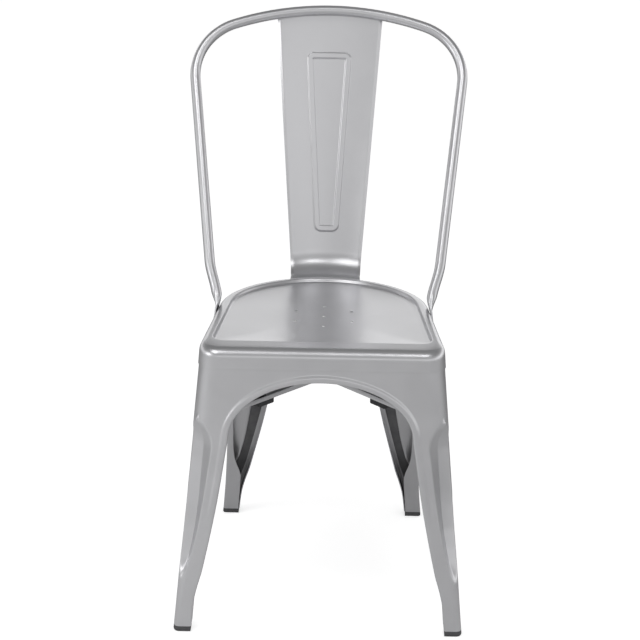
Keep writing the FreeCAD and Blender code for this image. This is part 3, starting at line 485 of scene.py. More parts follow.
def distance_at(which, z, axis, value):
    """Distance from the corner at which the wall has this x (axis 0) or y (axis 1)."""
    points, runs, corner = wall_line(which, round(z, 1))
    half = next(i for i, run in enumerate(runs) if run >= corner)
    for i in range(0, half) if axis == 0 else range(half, len(points) - 1):
        a, b = points[i][axis], points[i + 1][axis]
        if min(a, b) <= value <= max(a, b) and a != b:
            return runs[i] + (runs[i + 1] - runs[i]) * (value - a) / (b - a) - corner
    return runs[0 if axis == 0 else -1] - corner


print("front wall to the corner", round(wall_line("front", ARCH_SPRING)[2], 1), "mm")


# %% Free edge of a wing and the line opposite
EDGE_ROWS = 88
ARCH_STEPS = 72
CORNER_TOP = 270.0


def arch_middle(axis):
    """X or y of the middle of an arch: between two legs across, or between front and rear legs."""
    if axis == 0:
        return 0.0
    front = corner_line("front", ARCH_SPRING).y + WING_WIDTHS[0][1]
    rear = corner_line("rear", ARCH_SPRING).y - WING_WIDTHS[0][1]
    return (front + rear) / 2


def edge_line(which, axis):
    """Free edge of a wing from the ankle to the crown, as (distance, height) pairs."""
    line = []
    sign = -1.0 if (which, axis) == ("rear", 1) else 1.0
    for row in range(EDGE_ROWS):
        z = LEG_BOTTOM + (ARCH_SPRING - LEG_BOTTOM) * row / EDGE_ROWS
        value = corner_line(which, z)[axis] + sign * smooth_table(WING_WIDTHS, z)
        line.append((distance_at(which, z, axis, value), z))
    spring = corner_line(which, ARCH_SPRING)[axis] + sign * WING_WIDTHS[0][1]
    centre = arch_middle(axis)
    stop = 0.0 if axis == 0 else SEAM_Y
    half = spring - centre
    last = math.acos(max(min((stop - centre) / half, 1.0), -1.0))
    for step in range(ARCH_STEPS + 1):
        turn = last * step / ARCH_STEPS
        z = ARCH_SPRING + (ARCH_CROWN - ARCH_SPRING) * math.sin(turn)
        line.append((distance_at(which, z, axis, centre + half * math.cos(turn)), z))
    return line


def base_line(edge, axis, which):
    """Partner of each free edge point: up the corner, then along the top edge."""
    rows = sum(1 for _, z in edge if z < CORNER_TOP)
    rest = len(edge) - rows
    corner_steps = rest // 2
    top_steps = rest - corner_steps
    line = [(0.0, z) for _, z in edge[:rows]]
    start = line[-1][1]
    for step in range(1, corner_steps + 1):
        line.append((0.0, start + (LEG_TOP - start) * step / corner_steps))
    far = distance_at(which, LEG_TOP, axis, 0.0 if axis == 0 else SEAM_Y)
    for step in range(1, top_steps + 1):
        line.append((far * step / top_steps, LEG_TOP))
    return line


# %% Flute, lip and fold
LIP_WIDTH = 11.5
LIP_RISE = 1.8
LIP_LEAD = 3.6
LIP_SLOPE = 4.6
LIP_BOTTOM = 165.0
LIP_FADE = 50.0
FOLD = 2.6


def leg_point(which, distance, z, edge_gap):
    """Outer face of the leg sheet at a distance from the corner and a gap from the free edge."""
    plan, normal = wall_point(which, z, distance)
    mouth, valley = flute_size(z)
    if FLUTE_LOW < z < FLUTE_HIGH and abs(distance) < mouth:
        deep = Vector((valley, valley if which == "front" else -valley))
        rim_plan, _ = wall_point(which, z, math.copysign(mouth, distance))
        plan = (corner_line(which, z) + deep).lerp(rim_plan, abs(distance) / mouth)
    rise = LIP_RISE * (1 - ease((edge_gap - LIP_WIDTH + LIP_LEAD) / LIP_SLOPE))
    rise *= ease((z - LIP_BOTTOM) / LIP_FADE)
    if edge_gap < FOLD:
        rise -= FOLD - math.sqrt(max(FOLD ** 2 - (FOLD - edge_gap) ** 2, 0.0))
    plan = plan + normal * rise
    return Vector((plan.x, plan.y, z))


# %% [markdown]
# The inner faces of the legs get painted shade: a dark material for the shade deep in their channels.
# The flute, the flange and the lip stay silver on both sides. Solidify gives the inner faces the next
# material slot, so faces in slot 0 get the painted shade inside, and faces in the last slot are silver
# on both sides.

# %% Grid of one wing
LIP_GAPS = (0.0, 0.5, 1.4, 2.8, 4.6, 6.6, 7.9, 9.0, 10.1, 11.2, 12.4, 13.6, 15.5)
FACE_COLUMNS = 22
FLANGE_COLUMNS = 6
UNSHADED_COLUMNS = FLANGE_COLUMNS + 8
# Faces in this slot are silver on both sides; faces in slot 0 get painted shade on their inner side.
UNSHADED_SLOT = 2
INWARD = {("front", 0): Vector((0, 1, 0)), ("rear", 0): Vector((0, -1, 0)),
          ("front", 1): Vector((1, 0, 0)), ("rear", 1): Vector((1, 0, 0))}


def grid_verts(bm, columns, rows):
    """Vertices of a new grid, row after row."""
    made = bmesh.ops.create_grid(bm, x_segments=columns - 1, y_segments=rows - 1, size=1.0)
    return sorted(made["verts"], key=lambda v: (round(v.co.y, 6), round(v.co.x, 6)))


def wing_columns(which, axis, near, far):
    """Points of one row of a wing, from the inner end of its flange to the corner or top edge."""
    span = (far - near).length
    way = (far - near) / span
    root = leg_point(which, near.x, near.y, 0.0)
    depth = from_table(FLANGE, near.y) - FOLD
    row = [root + INWARD[which, axis] * depth * (1 - column / FLANGE_COLUMNS)
           for column in range(FLANGE_COLUMNS)]
    face = span - LIP_GAPS[-1]
    gaps = [LIP_GAPS[-1] + face * column / FACE_COLUMNS for column in range(1, FACE_COLUMNS + 1)]
    for gap in (*LIP_GAPS, *gaps):
        spot = near + way * gap
        row.append(leg_point(which, spot.x, spot.y, gap))
    return row


def add_wing(bm, which, axis):
    """Grid of one wing, with every vertex on the pressed sheet."""
    edge = edge_line(which, axis)
    base = base_line(edge, axis, which)
    columns = FLANGE_COLUMNS + len(LIP_GAPS) + FACE_COLUMNS
    verts = grid_verts(bm, columns, len(edge))
    for index, (near, far) in enumerate(zip(edge, base)):
        row = wing_columns(which, axis, Vector(near), Vector(far))
        place(verts[index * columns:(index + 1) * columns], [point * MM for point in row])
    # Flange and lip faces go in the silver slot; the other faces get painted shade on their inner side.
    unshaded = {vert for number, vert in enumerate(verts) if number % columns < UNSHADED_COLUMNS}
    for face in {face for vert in unshaded for face in vert.link_faces}:
        if unshaded.issuperset(face.verts):
            face.material_index = UNSHADED_SLOT


# %% Softness of the flute, and its faces kept free of painted shade
SOFT_BELOW = 12.0
SOFT_ABOVE = 10.0
SOFT_BESIDE = 7.0
SOFT_ROUNDS = 3
UNSHADED_MOUTH = 0.95
UNSHADED_VALLEY = 1.03


def corner_reach(which, spot):
    """How far a point in millimetres lies from the corner line, in x or y, whichever is more."""
    corner = corner_line(which, spot.z)
    return max(abs(spot.x - corner.x), abs(spot.y - corner.y))


def soften_flute(bm, which):
    """Smooth the vertices in and beside the flute, as a press rounds them."""
    chosen = []
    for vert in bm.verts:
        spot = vert.co / MM
        if not FLUTE_LOW - SOFT_BELOW < spot.z < FLUTE_HIGH + SOFT_ABOVE or vert.is_boundary:
            continue
        if corner_reach(which, spot) < flute_size(spot.z)[0] + SOFT_BESIDE:
            chosen.append(vert)
    for _ in range(SOFT_ROUNDS):
        bmesh.ops.smooth_vert(bm, verts=chosen, factor=0.5, use_axis_x=True, use_axis_y=True,
                              use_axis_z=False)


def flute_without_shade(bm, which):
    """Put the faces of the flute in the slot that is silver on both sides, without painted shade
    inside.
    """
    for face in bm.faces:
        spot = face.calc_center_median() / MM
        mouth, valley = flute_size(spot.z)
        limit = max(mouth * UNSHADED_MOUTH, valley * UNSHADED_VALLEY)
        if FLUTE_LOW < spot.z < FLUTE_HIGH and corner_reach(which, spot) < limit:
            face.material_index = UNSHADED_SLOT


# %% Four legs
WELD_GAP = 0.02


def make_leg(which):
    """Left leg sheet as a bmesh, with its faces outwards."""
    bm = bmesh.new()
    add_wing(bm, which, 0)
    add_wing(bm, which, 1)
    bmesh.ops.remove_doubles(bm, verts=bm.verts, dist=WELD_GAP * MM)
    soften_flute(bm, which)
    flute_without_shade(bm, which)
    bmesh.ops.recalc_face_normals(bm, faces=bm.faces)
    outward = 0.0
    for face in bm.faces:
        spot = face.calc_center_median()
        outward += face.normal.dot(Vector((spot.x, spot.y - REAR_Y * MM, 0))) * face.calc_area()
    if outward < 0:
        bmesh.ops.reverse_faces(bm, faces=bm.faces)
    return bm


for which in ("front", "rear"):
    left = make_leg(which)
    right = left.copy()
    bmesh.ops.scale(right, vec=(-1, 1, 1), verts=right.verts)
    bmesh.ops.reverse_faces(right, faces=right.faces)
    for side, bm in (("left", left), ("right", right)):
        name = "%s_%s_leg" % (which, side)
        print(name, len(bm.faces), "faces")
        leg = finish_piece(bm, name + "_sheet", name)
        # Solidify puts the inner faces in the next slot: painted shade behind the faces in slot 0.
        add_thickness(leg, LEG_METAL).material_offset = 1

# %% [markdown]
# The back is a tube bent into a hoop, with its ends pressed flat so that they lie on the seat skirt. A
# curve with a bevel would make the tube, but not its flat ends. Rings of vertices swept along the
# centre line make both: a ring is a circle on the tube and a thin rounded bar at the end, and the
# rings between the two blend one form into the other, as the press does.

# %% Sizes and plane of the hoop
LEAN = math.radians(32.2)
HOOP_UP = Vector((0, math.sin(LEAN), math.cos(LEAN)))
HOOP_OUT = Vector((0, -math.cos(LEAN), math.sin(LEAN)))
HOOP_BASE = Vector((0, -11.1, SEAT_TOP + 4.0))
HOOP_RISE = 482.0
HOOP_HALF = 210.5
HOOP_WIDEST = 372.0
CROWN_RADIUS = 459.0
SIDE_ANGLE = math.radians(6.2)
TUBE_RADIUS = 8.0
TAB_METAL = 3.2
TAB_WIDTH = 23.5
TAB_DROP = -40.0
TAB_BEND = -8.0
FLAT_UNTIL = -12.0
FLAT_FADE = 28.0
NECK_TOP = 66.0
TAB_CLEARANCE = 0.2
HOOP_STEPS = {"tab": 9, "neck": 41, "side": 31, "bend": 25, "crown": 37}
RING_VERTS = 32
END_SIZE = 0.8


def hoop_place(across, along, out=0.0):
    """Point in the plane of the hoop."""
    return HOOP_BASE + Vector((across, 0, 0)) + HOOP_UP * along + HOOP_OUT * out


def skirt_x(y, z):
    """X of the left seat skirt, carried up as a plane."""
    corner_end, _, seam = wall("front", LEVEL)[-1]
    seam_low = wall("front", SKIRT_BOTTOM)[-1][2]
    along = (seam[0] - corner_end[0]) / (seam[1] - corner_end[1])
    rise = (seam[0] - seam_low[0]) / (LEVEL - SKIRT_BOTTOM)
    return seam[0] + along * (y - seam[1]) + rise * (z - LEVEL)


def tab_x(along, out=0.0):
    """X of the middle of the flat end where it lies on the skirt."""
    spot = hoop_place(0.0, along, out)
    return skirt_x(spot.y, spot.z) - TAB_CLEARANCE - TAB_METAL / 2


print("hoop crown at", round(hoop_place(0.0, HOOP_RISE).z, 1), "mm")


# %% Rings along the hoop
def hoop_arc(centre, radius, turn):
    """Station of the tube on a circle in the hoop plane, left of its middle."""
    return (-(centre[0] + radius * math.cos(turn)), centre[1] + radius * math.sin(turn), turn, 0.0)


def hoop_stations():
    """Left half of the hoop from its flat end to the crown: across, along, turn, flatness."""
    crown_centre = (0.0, HOOP_RISE - CROWN_RADIUS)
    gap = HOOP_WIDEST - crown_centre[1]
    radius = (CROWN_RADIUS ** 2 - HOOP_HALF ** 2 - gap ** 2) / (2 * (CROWN_RADIUS - HOOP_HALF))
    centre = (HOOP_HALF - radius, HOOP_WIDEST)
    join = math.atan2(gap, centre[0])
    side_x_top, side_top, _, _ = hoop_arc(centre, radius, -SIDE_ANGLE)
    neck_x = side_x_top + (side_top - NECK_TOP) * math.tan(SIDE_ANGLE)
    span = NECK_TOP - TAB_BEND
    slopes = (tab_x(TAB_BEND + 0.5) - tab_x(TAB_BEND - 0.5), -math.tan(SIDE_ANGLE))
    stations = []
    for along in np.linspace(TAB_DROP, TAB_BEND, HOOP_STEPS["tab"]):
        stations.append((tab_x(along), along, 0.0, 1.0))
    for along in np.linspace(TAB_BEND, NECK_TOP, HOOP_STEPS["neck"])[1:]:
        t = (along - TAB_BEND) / span
        across = cubic(t, span, (tab_x(TAB_BEND), neck_x), slopes)
        flat = 1.0 - ease((along - FLAT_UNTIL) / FLAT_FADE)
        stations.append((across, along, -SIDE_ANGLE * ease(t), flat))
    for share in np.linspace(0, 1, HOOP_STEPS["side"])[1:]:
        stations.append((neck_x + (side_x_top - neck_x) * share,
                         NECK_TOP + (side_top - NECK_TOP) * share, -SIDE_ANGLE, 0.0))
    for turn in np.linspace(-SIDE_ANGLE, join, HOOP_STEPS["bend"])[1:]:
        stations.append(hoop_arc(centre, radius, turn))
    for turn in np.linspace(join, math.pi / 2, HOOP_STEPS["crown"])[1:]:
        stations.append(hoop_arc(crown_centre, CROWN_RADIUS, turn))
    return stations


def squared(value, power):
    """Sine or cosine raised to a power that squares a circle, with its sign kept."""
    return math.copysign(abs(value) ** power, value)


def hoop_ring(across, along, turn, flat, size=1.0):
    """Ring of points round the centre line: a circle, or a thin bar where flat is 1."""
    thick = TUBE_RADIUS + (TAB_METAL / 2 - TUBE_RADIUS) * flat
    wide = TUBE_RADIUS + (TAB_WIDTH / 2 - TUBE_RADIUS) * flat
    power = 2.0 / (2.0 + 4.0 * flat)
    points = []
    for number in range(RING_VERTS):
        angle = 2 * math.pi * (number + 0.5) / RING_VERTS
        away = squared(math.cos(angle), power) * thick * size
        out = squared(math.sin(angle), power) * wide * size
        lean = (tab_x(along, out) - tab_x(along)) * flat
        points.append(hoop_place(across - away * math.cos(turn) + lean,
                                 along + away * math.sin(turn), out) * MM)
    return points


hoop_bm = bmesh.new()
left_half = hoop_stations()
right_half = [(-across, along, math.pi - turn, flat)
              for across, along, turn, flat in left_half[-2::-1]]
ring = first_ring(hoop_bm, hoop_ring(*left_half[0], size=END_SIZE))
ends = [list(ring)]
for station in left_half + right_half:
    ring = extrude_ring(hoop_bm, ring, hoop_ring(*station))
ring = extrude_ring(hoop_bm, ring, hoop_ring(*right_half[-1], size=END_SIZE))
ends.append(ring)
for end in ends:
    bmesh.ops.contextual_create(hoop_bm, geom=end)
bmesh.ops.recalc_face_normals(hoop_bm, faces=hoop_bm.faces)
print("hoop", len(hoop_bm.faces), "faces")
finish_piece(hoop_bm, "hoop_tube", "back_hoop")

# %% [markdown]
# The splat is one sheet too: a foot on the rear rim, a curl, a long straight run and a hook round the
# back of the tube. In front it carries a bead, a pressed ridge in the form of a long ring. The mesh
# columns follow the slant of the bead, and get dense at its two slopes, so the highlight on the ridge
# stays a clean line. A texture bump would be cheaper, but flat from the side.

# %% Profile of the splat
SPLAT_METAL = 1.2
SPLAT_TOP_HALF = 84.5
SPLAT_FOOT_HALF = 55.4
SPLAT_INSET = 12.7
SPLAT_FOOT = 11.7
SPLAT_CURL = 38.0
SPLAT_WRAP = math.radians(60)
WRAP_CLEARANCE = 0.2


def splat_frame(x, part, share):
    """Place and backward direction on the front face, at x and at a share of a part of the profile."""
    rim = REAR_RADIUS - SPLAT_INSET
    foot_y = REAR_Y + math.sqrt(rim ** 2 - x ** 2)
    foot_z = SEAT_TOP + SPLAT_METAL
    low = Vector((x, foot_y + SPLAT_FOOT, foot_z + SPLAT_CURL))
    high = hoop_place(x, HOOP_RISE - CROWN_RADIUS + math.sqrt(CROWN_RADIUS ** 2 - x ** 2))
    reach = TUBE_RADIUS + WRAP_CLEARANCE
    line = high - low
    lift = (SPLAT_CURL - reach) / line.length
    line.normalize()
    behind = Vector((0, line.z, -line.y))
    back = line * lift + behind * math.sqrt(1 - lift ** 2)
    down = Vector((0, 0, -1))
    if part == "foot":
        return Vector((x, foot_y + SPLAT_FOOT * share, foot_z)), down
    if part == "curl":
        turn = down.angle(back) * share
        way = down * math.cos(turn) + Vector((0, 1, 0)) * math.sin(turn)
        return low + way * SPLAT_CURL, way
    if part == "run":
        return (low + back * SPLAT_CURL).lerp(high + back * reach, share), back
    turn = SPLAT_WRAP * share
    way = Vector((0, back.y * math.cos(turn) - back.z * math.sin(turn),
                  back.y * math.sin(turn) + back.z * math.cos(turn)))
    return high + way * reach, way


run_low = splat_frame(0.0, "run", 0.0)[0].z
run_high = splat_frame(0.0, "run", 1.0)[0].z
print("straight run of the splat from", round(run_low, 1), "to", round(run_high, 1), "mm")

# %% Bead, side folds and columns of the splat
BEAD_RISE = 2.0
BEAD_WIDTH = 11.0
BEAD_CORNER = 12.0
BEAD_SLOPE = 2.6
BEAD = {"foot": (SEAT_TOP + 62.0, 20.0), "top": (SEAT_TOP + 346.0, 36.5)}
BEAD_SLANT = 0.9983  # cosine of the slant of the bead's sides
BEAD_MARGIN = 1.0
FOLD_WIDTH = 4.6
FOLD_SLOPE = 0.55
FOLD_ROUND = 0.5
FOLD_MARGIN = 2.0
COLUMN_STEPS = (8, 16, 12, 9)
CROWN_Z = hoop_place(0.0, HOOP_RISE).z


def splat_half(z):
    """Half width of the splat at height z."""
    spread = (SPLAT_TOP_HALF - SPLAT_FOOT_HALF) / (CROWN_Z - SEAT_TOP)
    return SPLAT_FOOT_HALF + spread * (z - SEAT_TOP)


def bead_half(z):
    """Half width of the bead outline at height z."""
    (foot, foot_half), (top, top_half) = BEAD["foot"], BEAD["top"]
    return foot_half + (top_half - foot_half) * (z - foot) / (top - foot)


def bead_height(x, z):
    """Rise of the bead at a place on the splat."""
    side = (bead_half(z) - abs(x)) * BEAD_SLANT
    end = min(BEAD["top"][0] - z, z - BEAD["foot"][0])
    inside = min(side, end)
    if side < BEAD_CORNER and end < BEAD_CORNER:
        inside = BEAD_CORNER - math.hypot(BEAD_CORNER - side, BEAD_CORNER - end)
    rise = ease(inside / BEAD_SLOPE) * (1 - ease((inside - BEAD_WIDTH + BEAD_SLOPE) / BEAD_SLOPE))
    return BEAD_RISE * rise


def side_fold(x, z, part, share):
    """How far the sheet bends back near its side, fading out at the foot and round the tube."""
    bend = FOLD_WIDTH - (splat_half(z) - x)
    drop = FOLD_SLOPE * (bend + math.sqrt(bend ** 2 + FOLD_ROUND)) / 2
    if part == "foot":
        return 0.0
    if part == "curl":
        return drop * ease(share * 3)
    if part == "wrap":
        return drop * (1 - ease(share))
    return drop


def column_places(z):
    """X of each column at height z, from the middle to an edge, close together on the bead."""
    flat_steps, bead_steps, field_steps, fold_steps = COLUMN_STEPS
    inner = bead_half(z) - BEAD_WIDTH - BEAD_MARGIN
    start = bead_half(z) + BEAD_MARGIN
    edge = splat_half(z)
    stop = edge - FOLD_WIDTH - FOLD_MARGIN
    bead_span = BEAD_WIDTH + 2 * BEAD_MARGIN
    places = [inner * step / flat_steps for step in range(flat_steps)]
    places += [inner + bead_span * step / bead_steps for step in range(bead_steps)]
    places += [start + (stop - start) * step / field_steps for step in range(field_steps)]
    places += [stop + (edge - stop) * step / fold_steps for step in range(fold_steps + 1)]
    return places


def splat_point(number, part, share):
    """Front face of the splat in a column, at a share of a part of the profile."""
    z = splat_frame(0.0, part, share)[0].z
    for _ in range(2):
        z = splat_frame(column_places(z)[number], part, share)[0].z
    x = column_places(z)[number]
    spot, back = splat_frame(x, part, share)
    return spot + back * (side_fold(x, z, part, share) - bead_height(x, z))


# %% Splat sheet
RUN_ROWS = 85
BEAD_END_STEP = 0.8
BEAD_END_STEPS = range(-2, 19)

run_levels = set(np.linspace(run_low, run_high, RUN_ROWS)[1:-1])
for level, way in ((BEAD["foot"][0], 1), (BEAD["top"][0], -1)):
    run_levels |= {level + way * step * BEAD_END_STEP for step in BEAD_END_STEPS}
rows = [("foot", share) for share in (0.0, 0.35, 0.7)]
rows += [("curl", share) for share in np.linspace(0, 1, 21)[:-1]]
rows += [("run", (z - run_low) / (run_high - run_low)) for z in [run_low] + sorted(run_levels)]
rows += [("wrap", share) for share in np.linspace(0, 1, 13)]

splat_bm = bmesh.new()
half_columns = len(column_places(CROWN_Z))
columns = 2 * half_columns - 1
verts = grid_verts(splat_bm, columns, len(rows))
for index, (part, share) in enumerate(rows):
    half = [splat_point(number, part, share) * MM for number in range(half_columns)]
    row = [Vector((-p.x, p.y, p.z)) for p in half[:0:-1]] + half
    place(verts[index * columns:(index + 1) * columns], row)
bmesh.ops.recalc_face_normals(splat_bm, faces=splat_bm.faces)
if sum(face.normal.y * face.calc_area() for face in splat_bm.faces) > 0:
    bmesh.ops.reverse_faces(splat_bm, faces=splat_bm.faces)
print("splat", len(splat_bm.faces), "faces")
splat = finish_piece(splat_bm, "splat_sheet", "back_splat")
add_thickness(splat, SPLAT_METAL)

# %% [markdown]
# A product photo shows its object on a plain pale ground, so the stage is one large flat floor, and
# the camera sees a pale colour wherever it misses the chair. The camera was fitted to the photo: three
# metres away, a long lens, looking down by about 18 degrees. Far and long beats near and wide here,
# because the legs in the photo hardly converge.

# %% Stage and camera
FLOOR_HALF = 6.0
CAMERA_PLACE = Vector((26.8, -3124.7, 1413.0)) * MM
CAMERA_TURN = math.radians(0.6)
CAMERA_DOWN = math.radians(17.8)
CAMERA_ROLL = math.radians(0.9)
LENS = 119.66
SENSOR = 36.0

floor_mesh = bpy.data.meshes.new("floor")
floor_bm = bmesh.new()
bmesh.ops.create_grid(floor_bm, x_segments=1, y_segments=1, size=FLOOR_HALF)
floor_bm.to_mesh(floor_mesh)
floor_bm.free()
floor = into_scene("floor", floor_mesh)

across = Vector((math.cos(CAMERA_TURN), math.sin(CAMERA_TURN), 0))
ahead = Vector((-math.sin(CAMERA_TURN), math.cos(CAMERA_TURN), 0))
straight_up = Vector((0, 0, 1))
forward = ahead * math.cos(CAMERA_DOWN) - straight_up * math.sin(CAMERA_DOWN)
upward = ahead * math.sin(CAMERA_DOWN) + straight_up * math.cos(CAMERA_DOWN)
right_axis = across * math.cos(CAMERA_ROLL) + upward * math.sin(CAMERA_ROLL)
up_axis = upward * math.cos(CAMERA_ROLL) - across * math.sin(CAMERA_ROLL)
turned = Matrix((right_axis, up_axis, -forward)).transposed()
camera = into_scene("camera", bpy.data.cameras.new("camera"))
camera.matrix_world = Matrix.Translation(CAMERA_PLACE) @ turned.to_4x4()
camera.data.lens = LENS
camera.data.sensor_width = SENSOR
bpy.context.scene.camera = camera
bpy.context.scene.view_settings.view_transform = "Standard"
print("camera at", tuple(round(value, 3) for value in CAMERA_PLACE))

# %% [markdown]
# Satin metal shows its surroundings more than its own colour, so the light comes first. A plain white
# world would make it look like plaster. Here the world is a studio of grey tones: bright a little above
# the horizon, in front and still more behind, dark higher up, and slightly brighter towards the right.
# Tubes get a bright streak with dark edges that way, and flat sheets get slow changes of tone. Only the
# camera itself sees plain white. Three soft lamps, two above and one at the left, add clear highlights.

# %% Studio world
# Tones by direction, as (place, grey) stops, with the direction's z, x or y from 0 to 1.
FRONT_TONES = ((0.45, 0.75), (0.58, 1.0), (0.7, 0.6), (0.82, 0.35), (0.93, 0.6), (1.0, 0.35))
REAR_TONES = ((0.5, 0.7), (0.6, 1.25), (0.66, 1.25), (0.74, 0.4), (0.88, 0.2), (1.0, 0.25))
SIDE_TONES = ((0.0, 0.85), (0.35, 0.92), (0.66, 1.18), (0.85, 1.08), (0.95, 1.2))
REAR_SHARES = ((0.2, 0.0), (0.45, 1.0))
COOL = 1.01


def add_node(tree, kind, sockets=(), **settings):
    """Node with its settings, and with values or links on its sockets."""
    node = tree.nodes.new(kind)
    for key, value in settings.items():
        setattr(node, key, value)
    for key, value in dict(sockets).items():
        if isinstance(value, bpy.types.NodeSocket):
            tree.links.new(value, node.inputs[key])
        else:
            node.inputs[key].default_value = value
    return node


def calculate(tree, operation, *values):
    """Result of a math node between numbers or sockets."""
    node = add_node(tree, "ShaderNodeMath", enumerate(values), operation=operation)
    return node.outputs[0]


def mix(tree, share, first, last):
    """Number between two others."""
    sockets = {0: share, 2: first, 3: last}
    return add_node(tree, "ShaderNodeMix", sockets, data_type="FLOAT").outputs[0]


def unit(tree, value):
    """Value from -1 to 1 turned into one from 0 to 1."""
    return calculate(tree, "ADD", calculate(tree, "MULTIPLY", value, 0.5), 0.5)


def grey_ramp(tree, source, stops):
    """Grey tones over a value."""
    ramp = add_node(tree, "ShaderNodeValToRGB", {0: source})
    ramp.color_ramp.interpolation = "EASE"
    while len(ramp.color_ramp.elements) < len(stops):
        ramp.color_ramp.elements.new(0.5)
    for element, (position, grey) in zip(ramp.color_ramp.elements, stops):
        element.position = position
        element.color = (grey, grey, grey * COOL, 1)
    return ramp.outputs["Color"]


world = bpy.data.worlds.new("studio")
bpy.context.scene.world = world
world.use_nodes = True
studio = world.node_tree
direction = add_node(studio, "ShaderNodeTexCoord").outputs["Generated"]
split = add_node(studio, "ShaderNodeSeparateXYZ", {0: direction})
height = unit(studio, split.outputs["Z"])
front_tone = grey_ramp(studio, height, FRONT_TONES)
rear_tone = grey_ramp(studio, height, REAR_TONES)
side_tone = grey_ramp(studio, unit(studio, split.outputs["X"]), SIDE_TONES)
rear_share = grey_ramp(studio, unit(studio, split.outputs["Y"]), REAR_SHARES)
tone = calculate(studio, "MULTIPLY", mix(studio, rear_share, front_tone, rear_tone), side_tone)
rays = add_node(studio, "ShaderNodeLightPath")
background = studio.nodes["Background"]
background.inputs["Color"].default_value = (1.0, 1.0, 1.0, 1.0)
studio.links.new(mix(studio, rays.outputs["Is Camera Ray"], tone, 1.0), background.inputs["Strength"])
print("world nodes", len(studio.nodes))

# %% Soft lamps
LAMPS = {"key": ((-0.95, -1.1, 2.6), (0, 0, 0.45), 1.1, 10.0),
         "fill": ((0.5, -1.2, 2.6), (0, 0, 0.4), 0.6, 4.0),
         "side": ((-1.9, -1.1, 1.1), (0, 0, 0.35), 0.9, 6.0)}  # place, target, size, power

for name, (spot, target, size, power) in LAMPS.items():
    data = bpy.data.lights.new(name, "AREA")
    data.shape = "RECTANGLE"
    data.size = size
    data.size_y = size
    data.energy = power
    lamp = into_scene(name, data)
    lamp.location = spot
    lamp.rotation_euler = (Vector(target) - Vector(spot)).to_track_quat("-Z", "Y").to_euler()
print("lamps", ", ".join(LAMPS))

# %% [markdown]
# The floor is near white for the camera. In the metal it would be too bright, so glossy rays see it
# greyer towards the right and the back, and with hardly any glow of its own.

# %% Floor
FLOOR_GREY = 0.93
FLOOR_GLOW = 0.6
FLOOR_GLOW_IN_METAL = 0.07
FLOOR_ACROSS = (-0.45, 0.45, 0.92, 0.7)
FLOOR_ALONG = (-0.3, 1.2, 1.0, 0.3)


def map_range(tree, value, ends):
    """Value mapped from one range to another: from min, from max, to min, to max."""
    node = add_node(tree, "ShaderNodeMapRange", enumerate((value, *ends)))
    return node.outputs[0]


def node_material(name):
    """New material with its node tree and its shader."""
    material = bpy.data.materials.new(name)
    material.use_nodes = True
    return material, material.node_tree, material.node_tree.nodes["Principled BSDF"]


floor_material, tree, shader = node_material("floor")
shader.inputs["Roughness"].default_value = 0.9
shader.inputs["Specular IOR Level"].default_value = 0.0
shader.inputs["Emission Color"].default_value = (1, 1, 1, 1)
rays = add_node(tree, "ShaderNodeLightPath")
mirrored = calculate(tree, "MULTIPLY", rays.outputs["Is Glossy Ray"], FLOOR_GLOW_IN_METAL)
glow = calculate(tree, "MULTIPLY_ADD", rays.outputs["Is Camera Ray"], FLOOR_GLOW, mirrored)
tree.links.new(glow, shader.inputs["Emission Strength"])
spot = add_node(tree, "ShaderNodeTexCoord").outputs["Object"]
split = add_node(tree, "ShaderNodeSeparateXYZ", {0: spot})
seen = calculate(tree, "MULTIPLY", map_range(tree, split.outputs["X"], FLOOR_ACROSS),
                 map_range(tree, split.outputs["Y"], FLOOR_ALONG))
grey = mix(tree, rays.outputs["Is Glossy Ray"], FLOOR_GREY, seen)
tree.links.new(grey, shader.inputs["Base Color"])
floor.data.materials.append(floor_material)
print("floor nodes", len(tree.nodes))

# %% [markdown]
# Last come the materials, one for each slot and one of painted shade for the inner faces of the legs.
# The
# coat is a satin silver paint over steel: metallic, not quite smooth, with a fine grain of flake and
# slow changes of gloss, as a sprayed coat has. Its noise is laid on object coordinates, so it stays on
# the metal from every side. Rubber is dark, dull and a little uneven.

# %% Materials
NOISE_LOW = 0.3
NOISE_HIGH = 0.7


def noise_on_object(tree, scale, detail):
    """Noise on object coordinates."""
    place_node = add_node(tree, "ShaderNodeTexCoord")
    sockets = {"Vector": place_node.outputs["Object"], "Scale": scale, "Detail": detail}
    return add_node(tree, "ShaderNodeTexNoise", sockets).outputs["Fac"]


def two_tones(tree, source, dark, light):
    """Blend of two colours by a noise value."""
    ramp = add_node(tree, "ShaderNodeValToRGB", {0: source})
    stops = ((NOISE_LOW, dark), (NOISE_HIGH, light))
    for element, (position, colour) in zip(ramp.color_ramp.elements, stops):
        element.position = position
        element.color = (*colour, 1)
    return ramp.outputs["Color"]


def bump(tree, shader, source, distance, strength):
    """Fine relief from a noise value."""
    sockets = {"Distance": distance, "Strength": strength, "Height": source}
    relief = add_node(tree, "ShaderNodeBump", sockets)
    tree.links.new(relief.outputs["Normal"], shader.inputs["Normal"])


def uneven_material(name, metallic, noise, tones, roughness):
    """Material whose colour and roughness change with noise of a scale and detail."""
    material, tree, shader = node_material(name)
    source = noise_on_object(tree, *noise)
    spread = map_range(tree, source, (NOISE_LOW, NOISE_HIGH, *roughness))
    shader.inputs["Metallic"].default_value = metallic
    tree.links.new(two_tones(tree, source, *tones), shader.inputs["Base Color"])
    tree.links.new(spread, shader.inputs["Roughness"])
    return material, tree, shader, source


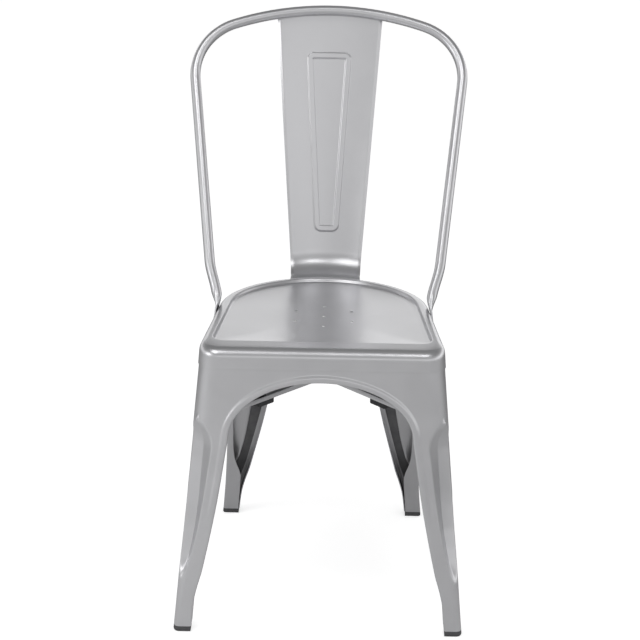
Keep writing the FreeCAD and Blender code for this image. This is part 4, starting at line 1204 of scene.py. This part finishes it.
silver, tree, shader, _ = uneven_material(
    "satin_silver", 0.88, (14.0, 3.0), ((0.56, 0.56, 0.575), (0.6, 0.6, 0.615)), (0.285, 0.34))
shader.inputs["Coat Weight"].default_value = 0.25
shader.inputs["Coat Roughness"].default_value = 0.22
bump(tree, shader, noise_on_object(tree, 1400.0, 2.0), 0.00003, 0.12)

# Dark painted shade for the inner faces of the leg channels, where shade falls.
painted_channel_shade = uneven_material(
    "painted_shade_inside", 0.75, (60.0, 4.0), ((0.12, 0.12, 0.125), (0.17, 0.17, 0.175)), (0.38, 0.5))[0]
steel = uneven_material(
    "rivet_steel_finish", 1.0, (900.0, 3.0), ((0.5, 0.5, 0.51), (0.6, 0.6, 0.61)), (0.28, 0.42))[0]

rubbers = {}
for name, tones in (("bumper_rubber", ((0.028, 0.028, 0.03), (0.045, 0.045, 0.048))),
                    ("foot_rubber", ((0.06, 0.06, 0.063), (0.09, 0.09, 0.094)))):
    rubbers[name], tree, shader, pores = uneven_material(
        name + "_finish", 0.0, (700.0, 4.0), tones, (0.55, 0.75))
    bump(tree, shader, pores, 0.0001, 0.4)
print("materials", ", ".join(material.name for material in bpy.data.materials))

# %% Dress the pieces
CAD_EDGE_ANGLE = math.radians(35)
# Leg slots: silver outside, painted shade inside, and silver on both sides.
LEG_SILVER_AND_SHADE = (silver, painted_channel_shade, silver)
KEPT = (("_strap", silver, 0.4), ("_rivet", steel, 0.2),
        ("_bumper", rubbers["bumper_rubber"], 0.3), ("_foot_cap", rubbers["foot_rubber"], 0.3))


def dress_cad(piece, material, width):
    """Give a CAD piece that is kept its material and small rounded edges."""
    piece.data.materials.clear()
    piece.data.materials.append(material)
    for face in piece.data.polygons:
        face.use_smooth = True
    weld = piece.modifiers.new("weld", "WELD")
    weld.merge_threshold = WELD_GAP * MM
    round_edges(piece, "soft edges", width, CAD_EDGE_ANGLE)


for piece in bpy.context.scene.objects:
    if piece.type == "MESH" and piece.name.endswith(("_sheet", "_tube")):
        for slot_material in LEG_SILVER_AND_SHADE if "leg" in piece.name else (silver,):
            piece.data.materials.append(slot_material)
for name, piece in NODES.items():
    for ending, material, width in KEPT:
        if name.endswith(ending):
            dress_cad(piece, material, width)
            print(name, "in", material.name)
